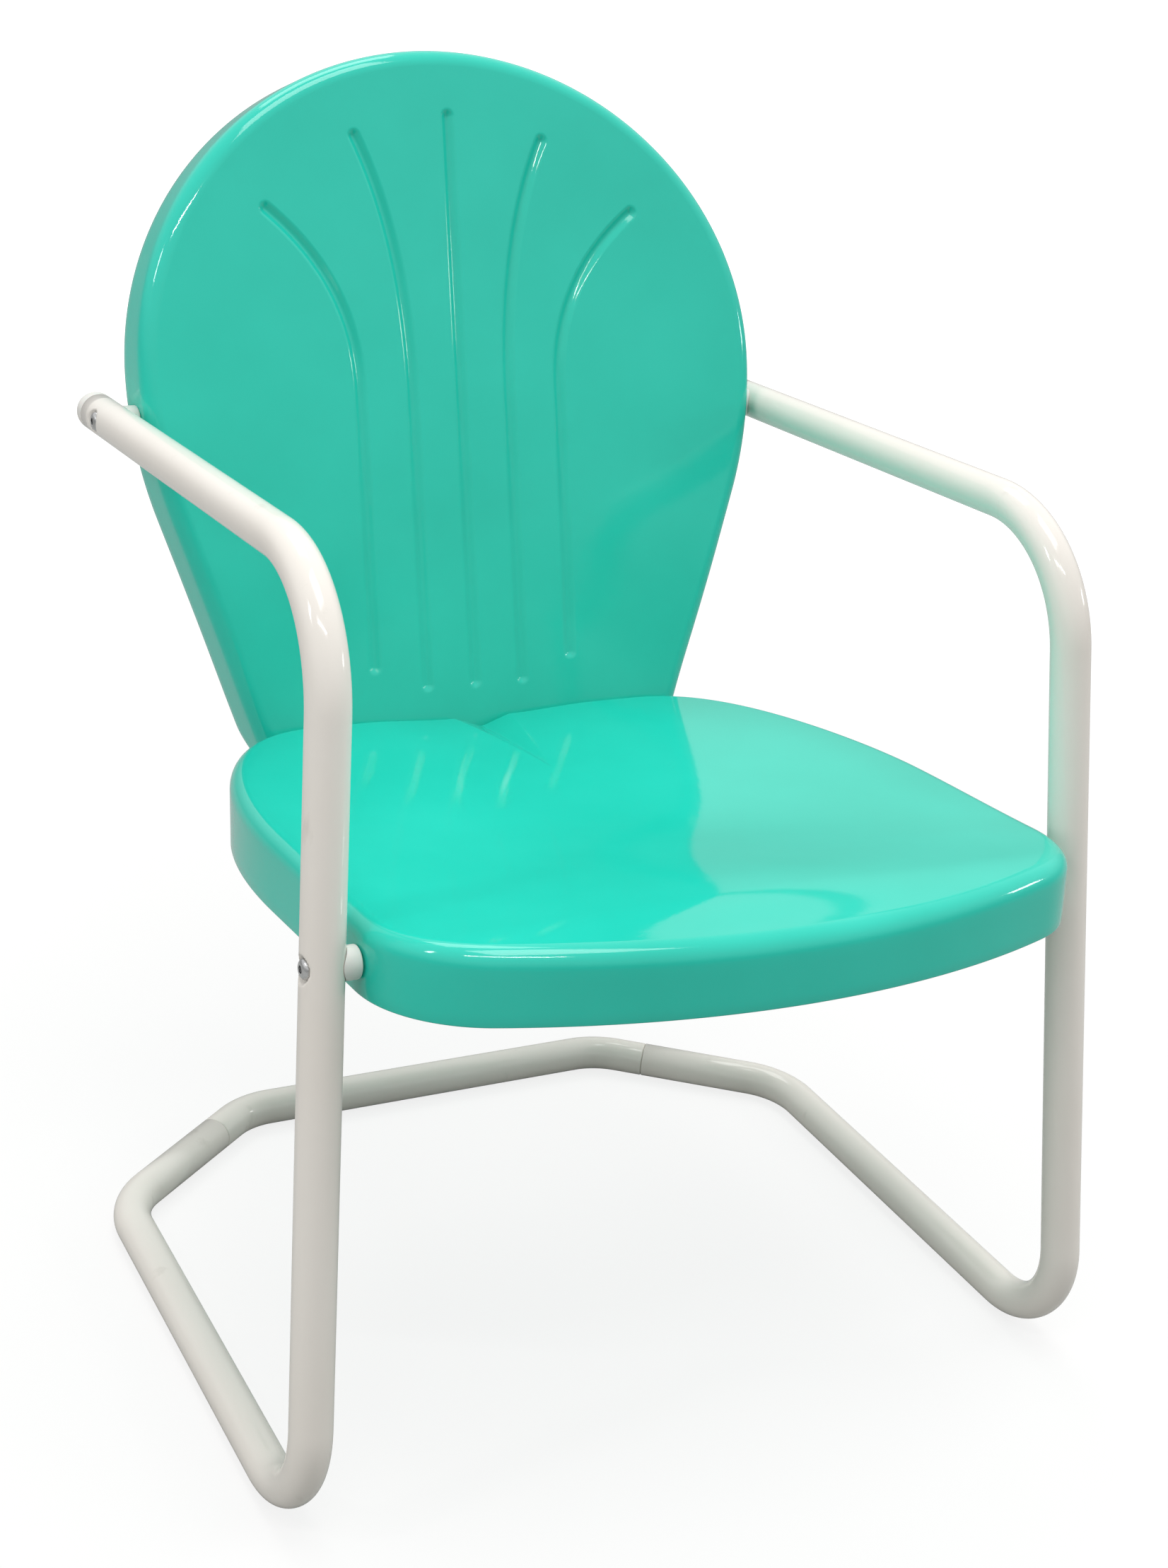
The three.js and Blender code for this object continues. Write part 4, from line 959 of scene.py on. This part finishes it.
finish_piece(back, "shell_paint", "back_shell")

# %% [markdown]
# ## Turned and moulded fittings
# Caps, spacers, bolts, nuts and washers are all round or six-sided about one axis. A stack of
# rings makes each: every ring has a radius and a height, and either may change with the angle,
# which turns a circle into a hexagon or trims an end to the curve of the tube.

# %% Ring stacks
def ring_stack(name, rings, sides=48, closed=False, sharp=30):
    """Joins each ring to the next, and the last to the first where the stack is closed."""
    angles = np.arange(sides) * 2 * np.pi / sides
    verts, ids = [], []
    for radius, height in rings:
        r = radius(angles) if callable(radius) else np.full(sides, float(radius))
        h = height(angles) if callable(height) else np.full(sides, float(height))
        if np.all(r == 0):
            ids.append([len(verts)] * sides)
            verts.append((0, 0, h[0] * MM))
            continue
        ids.append(list(range(len(verts), len(verts) + sides)))
        ring = np.stack([r * np.cos(angles), r * np.sin(angles), h], axis=1) * MM
        verts += [tuple(v) for v in ring]
    if closed:
        ids.append(ids[0])
    faces = []
    for a, b in zip(ids, ids[1:]):
        for i in range(sides):
            j = (i + 1) % sides
            corners = [a[i], a[j], b[j], b[i]]
            faces.append([v for k, v in enumerate(corners) if v not in corners[:k]])
    blank = new_object(name, verts, (), faces)
    blank.data.polygons.foreach_set("use_smooth", [True] * len(blank.data.polygons))
    blank.data.set_sharp_from_angle(angle=math.radians(sharp))
    return blank


def hexagon(apothem):
    return lambda angles: apothem / np.cos((angles + np.pi / 6) % (np.pi / 3) - np.pi / 6)


def axis_frame(origin, way):
    turn = way.to_track_quat("Z", "Y").to_matrix().to_4x4()
    return Matrix.Translation(to_world(origin)) @ turn


# %% Arm caps
CAP_COLLAR, CAP_DOME, CAP_PLUG = 8, 14, 9
CAP_EDGE, PLUG_WALL, PLUG_EDGE, PLUG_TIP = 0.5, 2, 0.6, 0.8
CAP_STEPS = 14
plug = TUBE_RADIUS - TUBE_WALL - CLEARANCE
dome = [(TUBE_RADIUS * math.cos(a), CAP_COLLAR + CAP_DOME * math.sin(a))
        for a in np.linspace(0, math.pi / 2, CAP_STEPS)[1:-1]]
cap_profile = [
    (0, -CLEARANCE), (plug - PLUG_WALL, -CLEARANCE), (plug - PLUG_WALL, -CAP_PLUG),
    (plug - PLUG_EDGE, -CAP_PLUG), (plug, PLUG_TIP - CAP_PLUG), (plug, CLEARANCE),
    (TUBE_RADIUS - CAP_EDGE, CLEARANCE), (TUBE_RADIUS, CLEARANCE + CAP_EDGE),
    (TUBE_RADIUS, CAP_COLLAR), *dome, (0, CAP_COLLAR + CAP_DOME),
]
for side, hand in HANDS:
    end = arm_point(hand, ARM_REACH + ARM_TAIL)
    cap = ring_stack(side + "_end_cap", cap_profile, TUBE_SIDES)
    cap.data.transform(axis_frame(end, (end - arm_front(hand)).normalized()))
    cap.data.materials.append(white_plastic)
    finish_piece(cap, "white_plastic", side + "_arm_cap")

# %% [markdown]
# ## Spacers
# A white spacer keeps the paint of tube and sheet apart. One end is trimmed to the tube. For
# each point of its ring, the trim is the distance inwards at which a line along the bolt leaves
# the tube, which is the root of a quadratic.

# %% Spacers
SPACER_RADIUS, SPACER_BORE = 11, 4.3
TRIM_EDGE, TRIM_RISE, LEAST_WALL = 0.5, 0.3, 0.1
ROUND_EDGE, ROUND_INSET, ROUND_DROP = 1.6, 0.5, 0.6


def saddle(way, radius_at):
    """Heights that trim a ring of this radius to a tube that runs this way."""
    def height(angles):
        result = []
        reach = TUBE_RADIUS + CLEARANCE
        for angle in angles:
            y, z = radius_at * math.cos(angle), radius_at * math.sin(angle)
            b = way.x * (y * way.y + z * way.z)
            a = 1 - way.x ** 2
            c = y * y + z * z - (y * way.y + z * way.z) ** 2 - reach ** 2
            result.append((b + math.sqrt(b * b - a * c)) / a)
        return np.array(result)
    return height


def make_spacer(name, hand, point, way, inner_end, node):
    mirrored = Vector((-hand * way.x, way.y, way.z)).normalized()
    inner_radius = SPACER_RADIUS - TRIM_EDGE
    trim = saddle(mirrored, SPACER_RADIUS)
    rings = [
        (SPACER_BORE, saddle(mirrored, SPACER_BORE)),
        (inner_radius, saddle(mirrored, inner_radius)),
        (SPACER_RADIUS, lambda a: trim(a) + TRIM_RISE),
        (SPACER_RADIUS, lambda a: np.maximum(trim(a) + TRIM_RISE + LEAST_WALL,
                                             inner_end - ROUND_EDGE)),
        (SPACER_RADIUS - ROUND_INSET, inner_end - ROUND_DROP),
        (SPACER_RADIUS - ROUND_EDGE, inner_end),
        (SPACER_BORE, inner_end),
    ]
    spacer = ring_stack(name, rings, closed=True)
    lay = Matrix(((0, 0, -hand), (1, 0, 0), (0, 1, 0))).to_4x4()
    spacer.data.transform(Matrix.Translation(to_world(point)) @ lay)
    spacer.data.materials.append(white_plastic)
    if hand > 0:
        spacer.data.flip_normals()
    finish_piece(spacer, "white_plastic", node)


for side, hand in HANDS:
    leg_way = (arm_front(hand) - foot(hand)).normalized()
    arm_way = (arm_point(hand, ARM_REACH) - arm_front(hand)).normalized()
    make_spacer(side + "_leg_spacer", hand, leg_point(hand, SEAT_BOLT_HEIGHT), leg_way,
                SEAT_STACK - CLEARANCE, side + "_seat_spacer")
    make_spacer(side + "_arm_spacer", hand, arm_point(hand, ARM_REACH), arm_way,
                BACK_STACK - CLEARANCE, side + "_back_spacer")

# %% [markdown]
# ## Bolts, washers and nuts
# The same few fasteners repeat, so a node tree places them: it reads points that carry a
# direction, puts a copy of one blank on each, and turns the blank to that direction. The
# result is made real, because the export keeps no instances.

# %% Fastener tree
set_tree, set_sockets = new_tree("set of fasteners", [
    ("Blank", "Object", None),
    ("Size", "Float", 1.0),
    ("Material", "Material", None),
])
set_in = set_tree.nodes.new("NodeGroupInput")
blank_info = set_tree.nodes.new("GeometryNodeObjectInfo")
aim = set_tree.nodes.new("GeometryNodeInputNamedAttribute")
aim.data_type = "FLOAT_VECTOR"
aim.inputs["Name"].default_value = "aim"
align = set_tree.nodes.new("FunctionNodeAlignRotationToVector")
align.axis = "Z"
copies = set_tree.nodes.new("GeometryNodeInstanceOnPoints")
link_pairs(
    set_tree,
    (set_in.outputs["Blank"], blank_info.inputs["Object"]),
    (set_in.outputs["Geometry"], copies.inputs["Points"]),
    (blank_info.outputs["Geometry"], copies.inputs["Instance"]),
    (aim.outputs["Attribute"], align.inputs["Vector"]),
    (align.outputs["Rotation"], copies.inputs["Rotation"]),
    (set_in.outputs["Size"], copies.inputs["Scale"]))
finish_tree(set_tree, copies.outputs["Instances"], set_in)


def make_set(name, blank, places, nodes):
    points = new_object(name, [place for place, way in places])
    aims = points.data.attributes.new("aim", "FLOAT_VECTOR", "POINT")
    aims.data.foreach_set("vector", [c for place, way in places for c in way])
    modifier = points.modifiers.new("set of fasteners", "NODES")
    modifier.node_group = set_tree
    modifier[set_sockets["Blank"]] = blank
    modifier[set_sockets["Material"]] = bright_steel
    settle(points)
    bpy.data.objects.remove(blank)
    finish_piece(points, "bright_steel", *nodes)


# %% Fastener blanks
HEX_SIDES, HEAD_SHARP = 60, 38
TIP_BEVEL, SOCKET_BEVEL, HOLE_BEVEL, WASHER_BEVEL = 0.6, 0.25, 0.5, 0.15
NECK_SHARE, NUT_CORNER_SHARE, NUT_CORNER_SLOPE = 0.96, 1.03, 0.58
HEAD_SHARES = ((1, 0.1), (1, 0.3), (0.97, 0.45), (0.9, 0.64), (0.78, 0.83), (0.64, 0.95),
               (0.55, 1))


def bolt_blank(diameter, head, head_height, socket, socket_depth, length):
    radius, head_radius, key = diameter / 2, head / 2, socket / 2
    rings = [
        (0, -length), (radius - TIP_BEVEL, -length), (radius, TIP_BEVEL - length), (radius, 0),
        (head_radius * NECK_SHARE, 0),
        *[(head_radius * a, head_height * b) for a, b in HEAD_SHARES],
        (hexagon(key + SOCKET_BEVEL), head_height),
        (hexagon(key), head_height - SOCKET_BEVEL),
        (hexagon(key), head_height - socket_depth),
        (0, head_height - socket_depth - HOLE_BEVEL),
    ]
    return ring_stack("bolt blank", rings, HEX_SIDES, sharp=HEAD_SHARP)


def nut_blank(across, bore, height):
    side = hexagon(across / 2)
    circle = across / 2 * NUT_CORNER_SHARE

    def corner(angles):
        return np.maximum(side(angles) - circle, 0) * NUT_CORNER_SLOPE

    def trimmed(angles):
        return np.minimum(side(angles), circle)

    rings = [
        (bore, HOLE_BEVEL), (bore + HOLE_BEVEL, 0), (trimmed, 0), (side, corner),
        (side, lambda angles: height - corner(angles)), (trimmed, height),
        (bore + HOLE_BEVEL, height), (bore, height - HOLE_BEVEL),
    ]
    return ring_stack("nut blank", rings, HEX_SIDES, closed=True)


def washer_blank(diameter, bore, thickness):
    radius = diameter / 2
    bevel = WASHER_BEVEL
    rings = [(bore, 0), (radius - bevel, 0), (radius, bevel), (radius, thickness - bevel),
             (radius - bevel, thickness), (bore + bevel, thickness), (bore, thickness - bevel)]
    return ring_stack("washer blank", rings, closed=True)


# %% Side fasteners
HEAD_SEAT = TUBE_RADIUS - CUP_DEPTH + CLEARANCE
SIDE_BORE = 4.3
SIDE_BOLT, SIDE_HEAD, SIDE_HEAD_HEIGHT, SIDE_SOCKET, SIDE_SOCKET_DEPTH = 8, 14, 4.4, 5, 2.6
SIDE_WASHER, SIDE_WASHER_THICKNESS = 16, 1.6
SIDE_NUT, SIDE_NUT_HEIGHT = 13, 6.5


def side_places(node, anchors, ways):
    """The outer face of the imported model's piece on each bolt axis, with the way inwards."""
    outer = -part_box("left_" + node)[0].x
    points = [to_world(anchor) for anchor in anchors]
    return [(Vector((way.x * outer, p.y, p.z)), -way) for p, way in zip(points, ways)]


ways = [Vector((hand, 0, 0)) for hand in (-1, 1)]
for kind, anchors in (("seat", [leg_point(h, SEAT_BOLT_HEIGHT) for h in (-1, 1)]),
                      ("back", [arm_point(h, ARM_REACH) for h in (-1, 1)])):
    low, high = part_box("left_" + kind + "_bolt")
    length = (high.x - low.x) / MM - SIDE_HEAD_HEIGHT
    heads = [(to_world(a + way * HEAD_SEAT), way) for a, way in zip(anchors, ways)]
    bolt = bolt_blank(SIDE_BOLT, SIDE_HEAD, SIDE_HEAD_HEIGHT, SIDE_SOCKET, SIDE_SOCKET_DEPTH,
                      length)
    make_set(kind + "_side_bolts", bolt, heads,
             ["left_" + kind + "_bolt", "right_" + kind + "_bolt"])
    for part, blank in (("washer", washer_blank(SIDE_WASHER, SIDE_BORE, SIDE_WASHER_THICKNESS)),
                        ("nut", nut_blank(SIDE_NUT, SIDE_BORE, SIDE_NUT_HEIGHT))):
        node = kind + "_" + part
        make_set(kind + "_side_" + part + "s", blank, side_places(node, anchors, ways),
                 ["left_" + node, "right_" + node])

# %% Lower fasteners
LOWER_SPACING, LOWER_DROP = 105, 31
LOWER_BORE = 3.3
LOWER_BOLT, LOWER_HEAD, LOWER_HEAD_HEIGHT, LOWER_SOCKET, LOWER_SOCKET_DEPTH = 6, 11, 3.3, 4, 2
LOWER_WASHER, LOWER_WASHER_THICKNESS = 14, 1.4
LOWER_NUT, LOWER_NUT_HEIGHT, BOLT_END = 10, 5, 2

rearward = back_turn @ Vector((0, 1, 0))
lower_points = [back_origin + back_turn @ Vector((x, 0, -LOWER_DROP))
                for x in (-LOWER_SPACING, 0, LOWER_SPACING)]
rear_face = SHEET + CLEARANCE
head_face = rear_face + LOWER_WASHER_THICKNESS + CLEARANCE
front_face = -(SHEET + 2 * CLEARANCE) - LOWER_WASHER_THICKNESS
nut_face = front_face - CLEARANCE - LOWER_NUT_HEIGHT
lower_blanks = {
    "bolt": (head_face, bolt_blank(LOWER_BOLT, LOWER_HEAD, LOWER_HEAD_HEIGHT, LOWER_SOCKET,
                                   LOWER_SOCKET_DEPTH, head_face - nut_face + BOLT_END)),
    "nut": (nut_face, nut_blank(LOWER_NUT, LOWER_BORE, LOWER_NUT_HEIGHT)),
}
for end, face in (("rear", rear_face), ("front", front_face)):
    washer = washer_blank(LOWER_WASHER, LOWER_BORE, LOWER_WASHER_THICKNESS)
    lower_blanks[end + "_washer"] = (face, washer)
for part, (depth, blank) in lower_blanks.items():
    places = [(to_world(point + rearward * depth), rearward) for point in lower_points]
    make_set("lower_" + part + "s", blank, places,
             [side + "_lower_" + part for side in ("left", "middle", "right")])

# %% [markdown]
# ## The screws of the floor bar
# Their sunk heads lie under the rear corners, where the model's own shape is fine enough. They
# stay as they came and only take the steel.

# %% Bar screws
for side in ("left", "right"):
    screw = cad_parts[side + "_bar_screw"]
    for slot in screw.material_slots:
        slot.material = bright_steel
    print(screw.name, "keeps its shape")

# %% [markdown]
# ## Floor, lamps and background
# The photograph has an even white background, so the camera sees a plain white world. Its light
# comes from above: the seat is bright, the back a little darker and the front flange darker
# still. A glossy paint shows every lamp as a mirror image. So most of the soft light comes from
# the world, through a strength that only matt surfaces see, and reflections see plain walls that
# are dim at eye level and bright overhead. The two large lamps stand where the faces of seat and
# back don't mirror them to the camera, and the small ones draw the highlights. The floor shows a
# faint soft shadow.

# %% Floor
FLOOR_HALF, FLOOR_GLOW, FLOOR_IN_GLOSS = 60, 1.36, 0.09
SHADE_START, SHADE_END, SHADE_SHARE = 0.7, 3.5, 0.6


def ray_kinds(tree):
    """Whether a ray comes from the camera, and whether from a mirror image or through glass."""
    rays = tree.nodes.new("ShaderNodeLightPath").outputs
    mirrored = math_node(tree, "MAXIMUM", rays["Is Glossy Ray"], rays["Is Transmission Ray"])
    return rays["Is Camera Ray"], mirrored


corners = [(x * FLOOR_HALF, y * FLOOR_HALF, 0) for x, y in ((-1, -1), (1, -1), (1, 1), (-1, 1))]
floor = new_object("floor", corners, (), [(0, 1, 2, 3)])
floor_paint, tree = new_material("pale floor")
diffuse = tree.nodes.new("ShaderNodeBsdfDiffuse")
diffuse.inputs["Color"].default_value = (0.42, 0.42, 0.41, 1)
glow = tree.nodes.new("ShaderNodeEmission")
glow.inputs["Strength"].default_value = FLOOR_GLOW
from_middle = tree.nodes.new("ShaderNodeVectorMath")
from_middle.operation = "LENGTH"
far = add_range(tree, from_middle.outputs["Value"], SHADE_SHARE, 1.0, SHADE_START, SHADE_END,
                "SMOOTHSTEP")
camera_ray, mirrored = ray_kinds(tree)
seen = math_node(tree, "ADD", camera_ray, math_node(tree, "MULTIPLY", mirrored, FLOOR_IN_GLOSS))
mix = tree.nodes.new("ShaderNodeMixShader")
link_pairs(
    tree,
    (tree.nodes.new("ShaderNodeTexCoord").outputs["Object"], from_middle.inputs[0]),
    (math_node(tree, "MULTIPLY", seen, far), mix.inputs["Fac"]),
    (diffuse.outputs["BSDF"], mix.inputs[1]),
    (glow.outputs["Emission"], mix.inputs[2]),
    (mix.outputs["Shader"], tree.nodes["Material Output"].inputs["Surface"]))
tree.nodes.remove(tree.nodes["Principled BSDF"])
floor.data.materials.append(floor_paint)

# %% Lamps
for name, place, aim_at, size, watts in (
        ("ceiling", (0.2, -0.7, 5.8), (0, 0, 0.4), (2.4, 2.4), 82),
        ("rear", (0.2, 2.6, 5.2), (0, 0, 0.4), (2.4, 2.0), 48),
        ("front strip", (-0.7, -1.35, 2.55), (0, 0, 0.4), (1.3, 0.05), 12),
        ("right window", (2.34, -0.8, 1.25), (0, 0, 0.4), (0.35, 0.2), 3),
        ("side window", (-1.9, -0.3, 2.1), (0, 0, 0.6), (0.2, 0.4), 5)):
    lamp = bpy.data.lights.new(name, "AREA")
    lamp.shape = "RECTANGLE"
    lamp.size, lamp.size_y = size
    lamp.energy = watts
    holder = bpy.data.objects.new(name, lamp)
    holder.location = place
    holder.rotation_euler = (Vector(aim_at) - Vector(place)).to_track_quat("-Z", "Y").to_euler()
    bpy.context.scene.collection.objects.link(holder)

# %% World
SKY_MIDDLE = (0.3, 0.05, 0.95)
WALL_LIGHT, WALL_HEIGHTS = (0.35, 0.95), (0.0, 0.5)
SKY_LIGHT, SIDE_LIGHT, SOFT_EDGE = (0.14, 1.12), (0.0, 1.25), (0.5, 1.0)


def mix_numbers(tree, share, a, b):
    """A number mix has its sockets at places 0, 2 and 3."""
    mix = tree.nodes.new("ShaderNodeMix")
    for socket, value in zip((mix.inputs[0], mix.inputs[2], mix.inputs[3]), (share, a, b)):
        fill_socket(tree, socket, value)
    return mix.outputs[0]


world = bpy.data.worlds.new("studio")
bpy.context.scene.world = world
world.use_nodes = True
tree = world.node_tree
way = tree.nodes.new("ShaderNodeTexCoord").outputs["Generated"]
parts = tree.nodes.new("ShaderNodeSeparateXYZ")
overhead = tree.nodes.new("ShaderNodeVectorMath")
overhead.operation = "DOT_PRODUCT"
overhead.inputs[1].default_value = SKY_MIDDLE
link_pairs(tree, (way, parts.inputs["Vector"]), (way, overhead.inputs[0]))
walls = add_range(tree, parts.outputs["Z"], *WALL_LIGHT, *WALL_HEIGHTS, "SMOOTHSTEP")
sky = add_range(tree, overhead.outputs["Value"], *SKY_LIGHT, *SOFT_EDGE, "SMOOTHSTEP")
sideways = math_node(tree, "ABSOLUTE", parts.outputs["X"])
sides = add_range(tree, sideways, *SIDE_LIGHT, *SOFT_EDGE, "SMOOTHSTEP")
camera_ray, mirrored = ray_kinds(tree)
ambient = mix_numbers(tree, mirrored, math_node(tree, "ADD", sky, sides), walls)
background = tree.nodes["Background"].inputs
background["Color"].default_value = (1, 1, 1, 1)
tree.links.new(mix_numbers(tree, camera_ray, ambient, 1.0), background["Strength"])
bpy.context.scene.view_settings.view_transform = "Standard"
